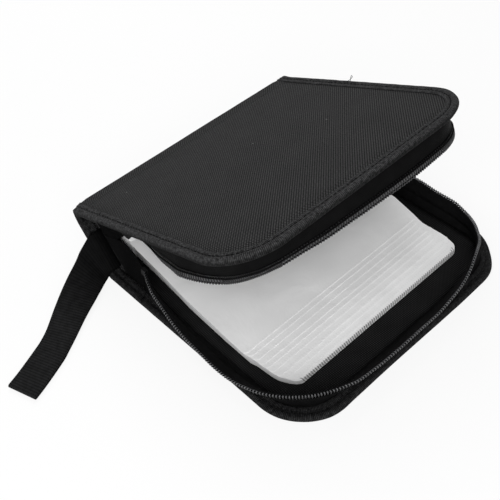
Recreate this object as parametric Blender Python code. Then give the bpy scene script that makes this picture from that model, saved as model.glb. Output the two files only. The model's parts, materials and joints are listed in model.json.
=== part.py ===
# Zip-round wallet for discs: two padded covers joined by a flat spine, a soft wall with half
# a zip on three sides of each cover, a stack of film sleeves inside and a wrist strap.
# Metres, +Z up. The base cover lies flat, its underside's centre is the origin, the spine is
# at -X, the opening edge at +X, and the strap leaves the spine's near end towards -Y.

import math
import bpy
import bmesh
from mathutils import Vector

MM = 0.001

# Overall sizes
CASE_DEPTH = 152 * MM            # from the spine's fold to the opening edge
CASE_LENGTH = 163 * MM           # along the spine
CORNER_RADIUS = 29 * MM
SPINE_WIDTH = 44.7 * MM
SPINE_LEAN = math.radians(31.0)  # from upright, away from the base
LID_ANGLE = math.radians(20.8)   # above the table
SEAT_GAP = 0.3 * MM              # between pieces that touch
FOLD_GAP = 0.4 * MM              # from a fold line to the cloth beside it
FOLD_SLOPE = 1.25                # how far the layers step back from a fold, per depth
FOLD_ROLL = 0.3 * MM             # how much further the padding keeps from it

# Cover layers, from the outer face inwards
TAPE_THICKNESS = 0.5 * MM        # binding tape
CLOTH_THICKNESS = 0.6 * MM       # outer nylon at the edge
PAD_HEIGHT = 0.8 * MM            # how far the padded face rises over its edge
FLANGE_THICKNESS = 0.5 * MM      # the soft wall's seam allowance
BOARD_THICKNESS = 1.0 * MM
LINING_THICKNESS = 0.4 * MM
BINDING_WIDTH = 6.5 * MM
BINDING_ROUND = 0.6 * MM
BOARD_INSET = 9.0 * MM
CORNER_TAPE_LENGTH = 26.0 * MM   # the spine's binding carried on along the covers
CORNER_TAPE_SKEW = 4.0 * MM      # slant of its cut end

# Soft walls and the zip
WALL_THICKNESS = 0.7 * MM
WALL_HEIGHT = 11.0 * MM          # along the slant, from the binding up to its hem
ZIP_TAPE_THICKNESS = 0.5 * MM
ZIP_TAPE_GAP = 0.45 * MM         # from the curved wall's inner face
ZIP_TAPE_BELOW = 4.0 * MM        # tape behind the wall
ZIP_TAPE_ABOVE = 4.0 * MM        # tape past the wall's hem
TOOTH_PITCH = 1.55 * MM
TOOTH_ROOT = 2.0 * MM            # past the hem
TOOTH_VALLEY = 3.8 * MM
TOOTH_TIP = 5.4 * MM
TOOTH_THICKNESS = 1.3 * MM
BASE_WALL_START = 24.5 * MM      # from the spine's fold, on both sides
LID_WALL_START = 29.5 * MM
STOP_SIZE = (3.2 * MM, 4.6 * MM, 2.2 * MM)
STOP_ROOT = 0.8 * MM             # past the hem
STOP_BEVEL = 0.5 * MM
EDGE_SIDE_STEPS = 16             # sections of an edge strip along a side, corner and half front
EDGE_ARC_STEPS = 8
EDGE_FRONT_STEPS = 3

# Outward lean of each soft wall in degrees: at its near start, near side, near side's end,
# near corner, front, far corner, far side and far start
BASE_WALL_LEAN = (-9, 13, 38, 22, 36, 9, 6, -7)
LID_WALL_LEAN = (-20, -4, 9, 6, 14, 5, 4, -9)

# End gussets
GUSSET_THICKNESS = 0.6 * MM
SLIT_OFFSET = (-2.0 * MM, 21.0 * MM)   # where the slit begins, from the base's fold line
SLIT_INSET_NEAR = 11.3 * MM      # of the slit, from the cover's edge
SLIT_INSET_FAR = 9.0 * MM
SLIT_LIP = 1.0 * MM              # the slit's edges lie this much deeper than its start
BASE_LIP = (11.0 * MM, -1.2 * MM)  # from the slit's start to the middle of its lower edge
LID_LIP = (7.0 * MM, 6.0 * MM)
GUSSET_SPINE_SHARE = 0.53        # where the web's crease meets the spine
GUSSET_CLEAR = 0.8 * MM          # from the lining
GUSSET_CORNER = 2.2 * MM         # from the fold, where the web's foot starts
GUSSET_FOOT_SHARE = 0.45         # middle of the web's foot, of the wall's start
GUSSET_FOOT_LIFT = 0.6 * MM
GUSSET_STEPS = 3

# Sleeves
SLEEVE_FLOOR = 0.3 * MM          # above the lining
SLEEVE_RIDGE = 0.4 * MM
SLEEVE_LEAVES = 6
# Sections of the stack in millimetres: distance from the fold, near and far inset, and top
SLEEVE_STATIONS = (
    (3.0, 14.0, 19.8, 18.9), (24.0, 12.3, 19.6, 17.6), (54.0, 9.8, 19.6, 16.6),
    (84.0, 9.8, 20.5, 15.8), (105.0, 9.8, 23.5, 14.2), (110.0, 9.8, 25.5, 13.6),
    (116.0, 9.9, 24.8, 12.6), (123.0, 12.0, 23.4, 11.0), (127.5, 17.5, 22.6, 9.2),
    (129.2, 22.0, 25.0, 8.0))
STRIP_THICKNESS = 1.2 * MM
STRIP_SEAT_SHARE = 0.42          # where the strip meets the spine, of its width
STRIP_SAG = (5.0 * MM, 6.0 * MM)

# Slider and pull tab
SLIDER_LENGTH = 10.4 * MM
SLIDER_WIDTH = 8.4 * MM
SLIDER_PLATE = 1.0 * MM
SLIDER_THROAT = 2.8 * MM
SLIDER_POST = 2.6 * MM
BAIL_LENGTH = 7.0 * MM
BAIL_WIDTH = 2.2 * MM
BAIL_BAR = 1.0 * MM
BAIL_CLEAR = 2.8 * MM
TAB_LENGTH = 22.0 * MM
TAB_WIDTH = 6.4 * MM
TAB_THICKNESS = 1.2 * MM
TAB_RUNNING_GAP = 0.5 * MM
TAB_HEAD_BEVEL = 0.8 * MM
TAB_END_BEVEL = 1.6 * MM
SLIDER_OFFSET = 5.6 * MM         # from the slit's start to the slider's middle
SLIT_ANGLE = math.radians(22.0)  # direction of the slit's middle line

# Wrist strap, folded double
STRAP_THICKNESS = 1.0 * MM
STRAP_GAP = 0.5 * MM
STRAP_SMOOTHING = 3              # sections from one station to the next
STRAP_ROOT = (27.8 * MM, 3.5 * MM)   # its edges where it leaves the spine, from the base's fold
STRAP_ROOT_DEPTH = 2.7 * MM
STRAP_LAID = 2.5                 # height of its upper face on the table, in millimetres
# Its left and right edge in millimetres, from the near end of the base's fold
STRAP_STATIONS = (
    ((-10.0, -10.7, 19.5), (5.5, -9.0, 3.4)), ((-6.0, -21.3, 13.0), (11.6, -20.0, 2.6)),
    ((0.3, -33.9, 7.4), (20.0, -34.9, STRAP_LAID)),
    ((8.2, -46.5, 3.2), (28.0, -47.0, STRAP_LAID)),
    ((9.9, -50.5, STRAP_LAID), (31.4, -51.6, STRAP_LAID)),
    ((15.5, -63.3, STRAP_LAID), (37.0, -62.5, STRAP_LAID)),
    ((21.5, -75.2, STRAP_LAID), (41.6, -71.8, STRAP_LAID)))


class Fold:
    """A flat cover or spine that starts on a fold line: u runs away from it, n goes inwards."""

    def __init__(self, x, z, angle, inward):
        self.x = x
        self.z = z
        self.along = (math.cos(angle), math.sin(angle))
        self.inward = (-inward * math.sin(angle), inward * math.cos(angle))

    def point(self, u, y, n):
        return Vector((self.x + u * self.along[0] + n * self.inward[0], y,
                       self.z + u * self.along[1] + n * self.inward[1]))


HALF_LENGTH = CASE_LENGTH / 2
SPINE_ANGLE = math.pi / 2 + SPINE_LEAN
BASE = Fold(-CASE_DEPTH / 2, 0, 0, 1)
SPINE = Fold(BASE.x, 0, SPINE_ANGLE, -1)
SPINE_TOP = SPINE.point(SPINE_WIDTH, 0, 0)
LID = Fold(SPINE_TOP.x, SPINE_TOP.z, LID_ANGLE, -1)

# Depths of the layers
PANEL_EDGE = TAPE_THICKNESS + SEAT_GAP
PANEL_INSIDE = PANEL_EDGE + CLOTH_THICKNESS
FLANGE_LOW = PANEL_INSIDE + SEAT_GAP
FLANGE_TOP = FLANGE_LOW + FLANGE_THICKNESS
BINDING_DEPTH = FLANGE_TOP + SEAT_GAP + TAPE_THICKNESS
BOARD_LOW = PANEL_INSIDE + SEAT_GAP
BOARD_TOP = BOARD_LOW + BOARD_THICKNESS
LINING_LOW = BOARD_TOP + SEAT_GAP
LINING_TOP = LINING_LOW + LINING_THICKNESS
CLOTH_EDGE = TAPE_THICKNESS + SEAT_GAP
WALL_FOOT = BINDING_WIDTH + SEAT_GAP
WALL_BASE = BINDING_DEPTH + SEAT_GAP
LINING_INSET = WALL_FOOT + WALL_THICKNESS + 2 * SEAT_GAP

# Runs of a cover's edge, from the spine's near end round to its far end
SIDE_RUN = CASE_DEPTH - CORNER_RADIUS
ARC_RUN = CORNER_RADIUS * math.pi / 2
FRONT_RUN = CASE_LENGTH - 2 * CORNER_RADIUS
EDGE_RUN = 2 * SIDE_RUN + 2 * ARC_RUN + FRONT_RUN


def clear_scene():
    for old in list(bpy.data.objects):
        bpy.data.objects.remove(old, do_unlink=True)


def material(name, colour, roughness, metallic=0.0):
    made = bpy.data.materials.new(name)
    made.use_nodes = True
    surface = made.node_tree.nodes["Principled BSDF"]
    surface.inputs["Base Color"].default_value = (*colour, 1.0)
    surface.inputs["Roughness"].default_value = roughness
    surface.inputs["Metallic"].default_value = metallic
    return made


def hinge_empty(name, place):
    empty = bpy.data.objects.new(name, None)
    empty.location = place
    bpy.context.scene.collection.objects.link(empty)
    bpy.context.view_layer.update()
    return empty


def finish(name, mesh_edit, finish_material, parent=None):
    """Turn a bmesh into a named object that hangs on its body's hinge."""
    mesh = bpy.data.meshes.new(name)
    mesh_edit.to_mesh(mesh)
    mesh_edit.free()
    mesh.materials.append(finish_material)
    made = bpy.data.objects.new(name, mesh)
    bpy.context.scene.collection.objects.link(made)
    if parent is not None:
        made.parent = parent
        made.matrix_parent_inverse = parent.matrix_world.inverted()
    return made


def loft(name, rings, finish_material, parent=None):
    """A closed solid through rings of points, capped at its first and last ring."""
    edit = bmesh.new()
    loops = [[edit.verts.new(point) for point in ring] for ring in rings]
    count = len(rings[0])
    for before, after in zip(loops, loops[1:]):
        for i in range(count):
            j = (i + 1) % count
            edit.faces.new((before[i], before[j], after[j]))
            edit.faces.new((before[i], after[j], after[i]))
    edit.faces.new(loops[0])
    edit.faces.new(loops[-1])
    bmesh.ops.recalc_face_normals(edit, faces=edit.faces)
    return finish(name, edit, finish_material, parent)


def along_edge(distance):
    """Place and outward direction on a cover's outline, as u and y."""
    if distance <= SIDE_RUN:
        return (distance, -HALF_LENGTH), (0.0, -1.0)
    if distance <= SIDE_RUN + ARC_RUN:
        turn = (distance - SIDE_RUN) / CORNER_RADIUS
        away = (math.sin(turn), -math.cos(turn))
        centre = (SIDE_RUN, -HALF_LENGTH + CORNER_RADIUS)
        return (centre[0] + CORNER_RADIUS * away[0], centre[1] + CORNER_RADIUS * away[1]), away
    if distance <= EDGE_RUN / 2:
        past = distance - SIDE_RUN - ARC_RUN
        return (CASE_DEPTH, -HALF_LENGTH + CORNER_RADIUS + past), (1.0, 0.0)
    (u, y), (out_u, out_y) = along_edge(EDGE_RUN - distance)
    return (u, -y), (out_u, -out_y)


def edge_steps(first):
    """Distances at which a strip along a cover's edge gets a section."""
    side = [first + (SIDE_RUN - first) * i / EDGE_SIDE_STEPS for i in range(EDGE_SIDE_STEPS)]
    arc = [SIDE_RUN + ARC_RUN * i / EDGE_ARC_STEPS for i in range(EDGE_ARC_STEPS + 1)]
    middle = EDGE_RUN / 2
    half_front = middle - SIDE_RUN - ARC_RUN
    front = [SIDE_RUN + ARC_RUN + half_front * i / EDGE_FRONT_STEPS
             for i in range(1, EDGE_FRONT_STEPS)]
    half = side + arc + front
    return half + [middle] + [EDGE_RUN - distance for distance in reversed(half)]


def lean_table(wall_start, degrees):
    """Outward lean of a wall at places along its edge."""
    near, rise, side, corner, front, far_corner, far_side, far = degrees
    return [(wall_start, near), (SIDE_RUN * 0.39, rise), (SIDE_RUN * 0.75, side),
            (SIDE_RUN + ARC_RUN / 2, corner), (EDGE_RUN / 2, front),
            (EDGE_RUN - SIDE_RUN - ARC_RUN / 2, far_corner),
            (EDGE_RUN - SIDE_RUN / 2, far_side), (EDGE_RUN - wall_start, far)]


def lean_at(table, distance):
    for (start, before), (end, after) in zip(table, table[1:]):
        if distance <= end:
            share = min(max((distance - start) / (end - start), 0), 1)
            eased = 0.5 - 0.5 * math.cos(math.pi * share)
            return math.radians(before + (after - before) * eased)
    return math.radians(table[-1][1])


def edge_point(cover, distance, out, n):
    (u, y), (out_u, out_y) = along_edge(distance)
    return cover.point(u + out * out_u, y + out * out_y, n)


def wall_point(cover, table, distance, up, outer):
    """A point in the leaning wall: up its slant from the binding, and out from its outer face."""
    lean = lean_at(table, distance)
    out = -WALL_FOOT + up * math.sin(lean) + outer * math.cos(lean)
    depth = WALL_BASE + up * math.cos(lean) - outer * math.sin(lean)
    return edge_point(cover, distance, out, depth)


def cover_ring(cover, edge_inset, fold_inset, n, round_steps=7):
    """The cover's outline at a depth, with square corners at the spine."""
    radius = CORNER_RADIUS - edge_inset
    half = HALF_LENGTH - edge_inset
    ring = [cover.point(fold_inset, -half, n)]
    for i in range(round_steps + 1):
        turn = math.pi / 2 * i / round_steps
        ring.append(cover.point(SIDE_RUN + radius * math.sin(turn),
                                -half + radius * (1 - math.cos(turn)), n))
    for i in range(round_steps, -1, -1):
        turn = math.pi / 2 * i / round_steps
        ring.append(cover.point(SIDE_RUN + radius * math.sin(turn),
                                half - radius * (1 - math.cos(turn)), n))
    ring.append(cover.point(fold_inset, half, n))
    return ring


def spine_ring(end_inset, n, roll=0.0):
    fold_inset = fold_step(n) + roll
    half = HALF_LENGTH - end_inset
    corners = [(fold_inset, -half), (SPINE_WIDTH - fold_inset, -half),
               (SPINE_WIDTH - fold_inset, half), (fold_inset, half)]
    return [SPINE.point(u, y, n) for u, y in corners]


def fold_step(n):
    """How far a layer at this depth keeps from the fold line."""
    return FOLD_GAP + FOLD_SLOPE * n


def padded_panel(name, ring, finish_material, parent):
    """Outer nylon: thin under the binding, raised and padded inside it."""
    inner_edge = BINDING_WIDTH + 2 * SEAT_GAP
    rings = [ring(CLOTH_EDGE, PANEL_INSIDE), ring(CLOTH_EDGE, PANEL_EDGE),
             ring(inner_edge, PANEL_EDGE, FOLD_ROLL), ring(inner_edge + PAD_HEIGHT, 0, FOLD_ROLL)]
    return loft(name, rings, finish_material, parent)


def flat_sheet(name, ring, inset, low, top, finish_material, parent):
    return loft(name, [ring(inset, low), ring(inset, top)], finish_material, parent)


def binding_section(proud):
    """A tape folded round an edge, as outward offset and depth."""
    outer = proud
    low = -proud
    deep = BINDING_DEPTH + proud
    tape = TAPE_THICKNESS
    bend = BINDING_ROUND
    return [(-BINDING_WIDTH, low), (outer - bend, low), (outer, low + bend),
            (outer, deep - bend), (outer - bend, deep), (-BINDING_WIDTH, deep),
            (-BINDING_WIDTH, deep - tape), (outer - tape, deep - tape),
            (outer - tape, low + tape), (-BINDING_WIDTH, low + tape)]


def edge_binding(name, cover, first, finish_material, parent):
    section = binding_section(0)
    rings = []
    steps = edge_steps(first)
    for index, distance in enumerate(steps):
        ring = []
        for out, n in section:
            place = distance
            if index == 0 and first <= FOLD_GAP:
                place = fold_step(n)
            if index == len(steps) - 1 and first <= FOLD_GAP:
                place = EDGE_RUN - fold_step(n)
            ring.append(edge_point(cover, place, out, n))
        rings.append(ring)
    return loft(name, rings, finish_material, parent)


def corner_tape(name, cover, side, proud, finish_material, parent):
    """The spine's binding tape carried on along a cover, with a slanted cut end."""
    rings = []
    for end in (False, True):
        ring = []
        for out, n in binding_section(proud):
            u = fold_step(max(n, 0))
            if end:
                u = CORNER_TAPE_LENGTH + CORNER_TAPE_SKEW * (BINDING_WIDTH + out) / BINDING_WIDTH
            ring.append(cover.point(u, side * (HALF_LENGTH + out), n))
        rings.append(ring)
    return loft(name, rings, finish_material, parent)


def spine_end_tape(name, side, finish_material, parent):
    rings = []
    for end in (False, True):
        ring = []
        for out, n in binding_section(0):
            u = SPINE_WIDTH - fold_step(n) if end else fold_step(n)
            ring.append(SPINE.point(u, side * (HALF_LENGTH + out), n))
        rings.append(ring)
    return loft(name, rings, finish_material, parent)


def soft_wall(name, cover, table, wall_start, finish_material, parent):
    """A strip of nylon: a flange inside the binding, then the wall up to its hem."""
    rings = []
    for distance in edge_steps(wall_start):
        rings.append([
            edge_point(cover, distance, -CLOTH_EDGE, FLANGE_LOW),
            edge_point(cover, distance, -CLOTH_EDGE, FLANGE_TOP),
            edge_point(cover, distance, -WALL_FOOT, FLANGE_TOP),
            wall_point(cover, table, distance, 0, 0),
            wall_point(cover, table, distance, WALL_HEIGHT, 0),
            wall_point(cover, table, distance, WALL_HEIGHT, -WALL_THICKNESS),
            wall_point(cover, table, distance, 0, -WALL_THICKNESS),
            edge_point(cover, distance, -WALL_FOOT - WALL_THICKNESS, FLANGE_LOW)])
    return loft(name, rings, finish_material, parent)


def zip_tape(name, cover, table, wall_start, finish_material, parent):
    outer = -WALL_THICKNESS - ZIP_TAPE_GAP
    inner = outer - ZIP_TAPE_THICKNESS
    low = WALL_HEIGHT - ZIP_TAPE_BELOW
    top = WALL_HEIGHT + ZIP_TAPE_ABOVE
    corners = [(top, outer), (low, outer), (low, inner), (top, inner)]
    rings = [[wall_point(cover, table, distance, up, out) for up, out in corners]
             for distance in edge_steps(wall_start)]
    return loft(name, rings, finish_material, parent)


def zip_teeth(name, cover, table, wall_start, finish_material, parent):
    """Half a zip's coil as a comb: a root bar whose edge runs in and out once a pitch."""
    first = wall_start + STOP_SIZE[0] + SEAT_GAP
    count = round((EDGE_RUN - 2 * first) / (TOOTH_PITCH / 2))
    low = -WALL_THICKNESS
    high = low + TOOTH_THICKNESS
    rings = []
    for i in range(count + 1):
        distance = first + (EDGE_RUN - 2 * first) * i / count
        reach = WALL_HEIGHT + (TOOTH_TIP if i % 2 else TOOTH_VALLEY)
        root = WALL_HEIGHT + TOOTH_ROOT
        rings.append([wall_point(cover, table, distance, root, low),
                      wall_point(cover, table, distance, reach, low),
                      wall_point(cover, table, distance, root, high)])
    return loft(name, rings, finish_material, parent)


def end_stop(name, cover, table, wall_start, finish_material, parent):
    """Metal clip at the near end of the teeth, on the tape."""
    length, width, height = STOP_SIZE
    low = -WALL_THICKNESS
    root = WALL_HEIGHT + STOP_ROOT
    rings = []
    for distance in (wall_start, wall_start + length):
        corners = [(root, low), (root + width, low), (root + width - STOP_BEVEL, low + height),
                   (root + STOP_BEVEL, low + height)]
        rings.append([wall_point(cover, table, distance, up, out) for up, out in corners])
    return loft(name, rings, finish_material, parent)


def wall_middle(cover, table, wall_start, side, share):
    """A point on the wall's end, halfway through it, a seat gap short of the wall."""
    distance = wall_start - SEAT_GAP
    top = WALL_HEIGHT + ZIP_TAPE_ABOVE
    point = wall_point(cover, table, distance, top * share, -WALL_THICKNESS / 2)
    if side > 0:
        distance = EDGE_RUN - distance
        point = wall_point(cover, table, distance, top * share, -WALL_THICKNESS / 2)
    return point


def blend_points(start, end, steps):
    return [start.lerp(end, i / steps) for i in range(steps + 1)]


def end_gusset(name, side, base_table, lid_table, finish_material, parent):
    """Cloth web that closes one end between base, spine and lid, slit from the zip inwards."""
    foot = HALF_LENGTH - WALL_FOOT - WALL_THICKNESS / 2
    inset = SLIT_INSET_NEAR if side < 0 else SLIT_INSET_FAR
    slit = Vector((BASE.x + SLIT_OFFSET[0], side * (HALF_LENGTH - inset), SLIT_OFFSET[1]))
    depth = LINING_TOP + GUSSET_CLEAR
    spine_middle = SPINE.point(SPINE_WIDTH * GUSSET_SPINE_SHARE, side * (foot - SLIT_LIP), depth)
    low_foot = PANEL_INSIDE + 2 * SEAT_GAP
    edit = bmesh.new()
    steps = GUSSET_STEPS

    def web(cover, table, wall_start, first_u, middle_top):
        middle_u = wall_start * GUSSET_FOOT_SHARE
        corner = cover.point(first_u + GUSSET_CORNER, side * foot, depth)
        crease_foot = cover.point(middle_u * 0.75, side * foot, low_foot + GUSSET_FOOT_LIFT)
        columns = [
            blend_points(corner, spine_middle, steps),
            blend_points(crease_foot, slit, steps),
            blend_points(cover.point(middle_u, side * foot, low_foot), middle_top, steps),
            [wall_middle(cover, table, wall_start, side, 0.02 + 0.98 * i / steps)
             for i in range(steps + 1)]]
        grid = [[edit.verts.new(point) for point in column] for column in columns]
        for left, right in zip(grid, grid[1:]):
            for i in range(steps):
                edit.faces.new((left[i], right[i], right[i + 1], left[i + 1]))

    lip_y = side * (HALF_LENGTH - inset - SLIT_LIP)
    web(BASE, base_table, BASE_WALL_START, fold_step(depth),
        Vector((slit.x + BASE_LIP[0], lip_y, slit.z + BASE_LIP[1])))
    web(LID, lid_table, LID_WALL_START, fold_step(depth),
        Vector((slit.x + LID_LIP[0], lip_y, slit.z + LID_LIP[1])))
    bmesh.ops.remove_doubles(edit, verts=edit.verts, dist=0.00002)
    bmesh.ops.recalc_face_normals(edit, faces=edit.faces)
    made = finish(name, edit, finish_material, parent)
    wall = made.modifiers.new("cloth", "SOLIDIFY")
    wall.thickness = GUSSET_THICKNESS
    wall.offset = 0
    return made


def disc_sleeves(name, finish_material, parent):
    """Stack of film sleeves as one solid, its long sides ridged like the leaves' edges."""
    floor = LINING_TOP + SLEEVE_FLOOR
    rings = []
    for from_fold, near, far, top in SLEEVE_STATIONS:
        ring = []
        for side, inset in ((-1, near * MM), (1, far * MM)):
            flank = []
            for i in range(2 * SLEEVE_LEAVES + 1):
                height = floor + (top * MM - floor) * i / (2 * SLEEVE_LEAVES)
                ridge = 0 if i % 2 else SLEEVE_RIDGE
                flank.append(BASE.point(from_fold * MM, side * (HALF_LENGTH - inset - ridge), height))
            ring += flank if side < 0 else reversed(flank)
        rings.append(ring)
    return loft(name, rings, finish_material, parent)


def sleeve_strip(name, finish_material, parent):
    """The strip that gathers the sleeves and is sewn to the spine."""
    start, near, far, top = SLEEVE_STATIONS[0]
    low_y = -HALF_LENGTH + near * MM + SLEEVE_RIDGE
    high_y = HALF_LENGTH - far * MM - SLEEVE_RIDGE
    end = BASE.x + start * MM - SEAT_GAP
    seat_u = SPINE_WIDTH * STRIP_SEAT_SHARE
    seat = SPINE.point(seat_u, 0, LINING_TOP + SEAT_GAP)
    seat_top = SPINE.point(seat_u + STRIP_THICKNESS, 0, LINING_TOP + SEAT_GAP)
    floor = LINING_TOP + SLEEVE_FLOOR
    outline = [(end, floor), (end, top * MM), (seat_top.x, seat_top.z), (seat.x, seat.z),
               (seat.x + STRIP_SAG[0], seat.z - STRIP_SAG[1])]
    rings = [[Vector((x, y, z)) for x, z in outline] for y in (low_y, high_y)]
    return loft(name, rings, finish_material, parent)


def smooth_between(before, start, end, after, share):
    """A point on the smooth curve through four points, between the middle two."""
    pull = (end - before) / 2
    push = (after - start) / 2
    square = share * share
    cube = square * share
    return ((2 * cube - 3 * square + 1) * start + (cube - 2 * square + share) * pull
            + (3 * square - 2 * cube) * end + (cube - square) * push)


def strap_edges():
    """Left and right edge of the strap's upper face, from the near end of the base's fold."""
    left_u, right_u = STRAP_ROOT
    root_left = SPINE.point(left_u, 0, STRAP_ROOT_DEPTH)
    root_right = SPINE.point(right_u, 0, STRAP_ROOT_DEPTH)
    edges = [(Vector((root_left.x, -HALF_LENGTH - SEAT_GAP, root_left.z)),
              Vector((root_right.x, -HALF_LENGTH - SEAT_GAP, root_right.z)))]
    for left, right in STRAP_STATIONS:
        edges.append(tuple(Vector((BASE.x + x * MM, -HALF_LENGTH + y * MM, z * MM))
                           for x, y, z in (left, right)))
    smooth = []
    last = len(edges) - 1
    for i in range(last):
        nearby = [edges[max(i - 1, 0)], edges[i], edges[i + 1], edges[min(i + 2, last)]]
        for step in range(STRAP_SMOOTHING):
            smooth.append(tuple(smooth_between(*(pair[side] for pair in nearby),
                                               step / STRAP_SMOOTHING) for side in (0, 1)))
    smooth.append(edges[last])
    return smooth


def wrist_strap(name, finish_material, parent):
    """Webbing folded double: out along the upper layer, round the end and back below."""
    edges = strap_edges()
    faces = []
    for i, (left, right) in enumerate(edges):
        before = edges[max(i - 1, 0)]
        after = edges[min(i + 1, len(edges) - 1)]
        run = (after[0] + after[1] - before[0] - before[1]).normalized()
        normal = (left - right).cross(run).normalized()
        faces.append((left, right, normal, run))
    thick = STRAP_THICKNESS
    low = 2 * thick + STRAP_GAP
    rings = []
    for left, right, normal, run in faces:
        rings.append([left, right, right - normal * thick, left - normal * thick])
    left, right, normal, run = faces[-1]
    middle = normal * (thick + STRAP_GAP / 2)
    reach = run * (thick + STRAP_GAP / 2)
    inner = run * STRAP_GAP / 2
    rings.append([left - middle + reach, right - middle + reach,
                  right - middle + inner, left - middle + inner])
    for left, right, normal, run in reversed(faces):
        rings.append([left - normal * low, right - normal * low,
                      right - normal * (low - thick), left - normal * (low - thick)])
    return loft(name, rings, finish_material, parent)


class SliderFrame:
    """Slider axes: along the slit, across the chain, and outwards from the far end."""

    def __init__(self):
        self.along = Vector((math.cos(SLIT_ANGLE), 0, math.sin(SLIT_ANGLE)))
        self.across = Vector((-math.sin(SLIT_ANGLE), 0, math.cos(SLIT_ANGLE)))
        self.out = Vector((0, 1, 0))
        slit = Vector((BASE.x + SLIT_OFFSET[0], HALF_LENGTH - SLIT_INSET_FAR - SLIT_LIP / 2,
                       SLIT_OFFSET[1]))
        self.middle = slit + self.along * SLIDER_OFFSET

    def point(self, along, across, out):
        return self.middle + self.along * along + self.across * across + self.out * out


def slider_plate_ring(frame, length, width, out):
    half, side = length / 2, width / 2
    shape = [(-half, -side * 0.55), (-half * 0.3, -side * 0.75), (half * 0.55, -side),
             (half, -side * 0.8), (half, side * 0.8), (half * 0.55, side),
             (-half * 0.3, side * 0.75), (-half, side * 0.55)]
    return [frame.point(a, b, out) for a, b in shape]


def zip_slider(name, frame, finish_material, parent):
    """Two shaped plates joined by a post, with a bail over the outer plate."""
    throat = SLIDER_THROAT / 2
    outside = throat + SLIDER_PLATE
    sizes = [(SLIDER_LENGTH, SLIDER_WIDTH, -outside), (SLIDER_LENGTH, SLIDER_WIDTH, -throat),
             (SLIDER_POST, SLIDER_POST, -throat), (SLIDER_POST, SLIDER_POST, throat),
             (SLIDER_LENGTH, SLIDER_WIDTH, throat), (SLIDER_LENGTH, SLIDER_WIDTH, outside)]
    body = loft(name, [slider_plate_ring(frame, *size) for size in sizes], finish_material, parent)
    bail_name = name + "_bail"
    half = BAIL_LENGTH / 2
    side = BAIL_WIDTH / 2
    bar = BAIL_BAR
    sunk = outside - SLIDER_PLATE / 2
    crown = outside + BAIL_CLEAR
    path = [(half, sunk, 1, 0), (half, crown - bar * 0.6, 1, 0), (half - bar * 0.6, crown, 0.7, 0.7),
            (-half + bar * 0.6, crown, -0.7, 0.7), (-half, crown - bar * 0.6, -1, 0),
            (-half, sunk, -1, 0)]
    rings = []
    for along, out, lean_along, lean_out in path:
        outer = (along + bar / 2 * lean_along, out + bar / 2 * lean_out)
        inner = (along - bar / 2 * lean_along, out - bar / 2 * lean_out)
        rings.append([frame.point(outer[0], -side, outer[1]), frame.point(outer[0], side, outer[1]),
                      frame.point(inner[0], side, inner[1]), frame.point(inner[0], -side, inner[1])])
    bail = loft(bail_name, rings, finish_material, parent)
    bail.hide_render = True
    bail.display_type = "WIRE"
    joined = body.modifiers.new("bail", "BOOLEAN")
    joined.operation = "UNION"
    joined.object = bail
    return body


def tab_pivot(frame):
    """Middle of the pull tab's cross bar, under the bail."""
    return frame.point(0, 0, SLIDER_THROAT / 2 + SLIDER_PLATE + TAB_RUNNING_GAP
                       + TAB_THICKNESS / 2)


def pull_tab(name, frame, finish_material, parent):
    """Flat tab with a window at its head, hooked under the bail."""
    pivot = tab_pivot(frame)
    half = TAB_THICKNESS / 2
    side = TAB_WIDTH / 2
    head = -half
    end = TAB_LENGTH
    bevel = TAB_END_BEVEL
    soft = TAB_HEAD_BEVEL
    shape = [(head, -side + soft), (head + soft, -side), (end - bevel, -side),
             (end, -side + bevel), (end, side - bevel), (end - bevel, side),
             (head + soft, side), (head, side - soft)]
    rings = [[pivot + frame.along * a + frame.across * b + frame.out * out for a, b in shape]
             for out in (-half, half)]
    tab = loft(name, rings, finish_material, parent)
    window_side = BAIL_WIDTH / 2 + TAB_RUNNING_GAP
    window_start = half
    window_end = BAIL_LENGTH / 2 + BAIL_BAR / 2 + 2 * TAB_RUNNING_GAP
    corners = [(window_start, -window_side), (window_end, -window_side),
               (window_end, window_side), (window_start, window_side)]
    rings = [[pivot + frame.along * a + frame.across * b + frame.out * out for a, b in corners]
             for out in (-TAB_THICKNESS, TAB_THICKNESS)]
    window = loft(name + "_window", rings, finish_material, parent)
    window.hide_render = True
    window.display_type = "WIRE"
    cut = tab.modifiers.new("window", "BOOLEAN")
    cut.operation = "DIFFERENCE"
    cut.object = window
    return tab


def build_cover(prefix, cover, table, wall_start, tape_proud, looks, parent):
    """Panel, board, lining, binding, wall and half zip of one cover."""

    def ring(inset, n, roll=0.0):
        return cover_ring(cover, inset, fold_step(n) + roll, n)

    padded_panel(prefix + "_outer_panel", ring, looks["shell"], parent)
    flat_sheet(prefix + "_board", ring, BOARD_INSET, BOARD_LOW, BOARD_TOP, looks["board"], parent)
    flat_sheet(prefix + "_lining", ring, LINING_INSET, LINING_LOW, LINING_TOP, looks["lining"], parent)
    binding_start = 0.0
    if tape_proud == 0:
        binding_start = CORNER_TAPE_LENGTH + CORNER_TAPE_SKEW + SEAT_GAP
    edge_binding(prefix + "_edge_binding", cover, binding_start, looks["tape"], parent)
    for label, side in (("near", -1), ("far", 1)):
        corner_tape(prefix + "_corner_tape_" + label, cover, side, tape_proud, looks["tape"], parent)
    soft_wall(prefix + "_gusset", cover, table, wall_start, looks["wall"], parent)
    zip_tape(prefix + "_zip_tape", cover, table, wall_start, looks["wall"], parent)
    zip_teeth(prefix + "_zip_teeth", cover, table, wall_start, looks["teeth"], parent)
    end_stop(prefix + "_zip_stop", cover, table, wall_start, looks["metal"], parent)


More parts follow.
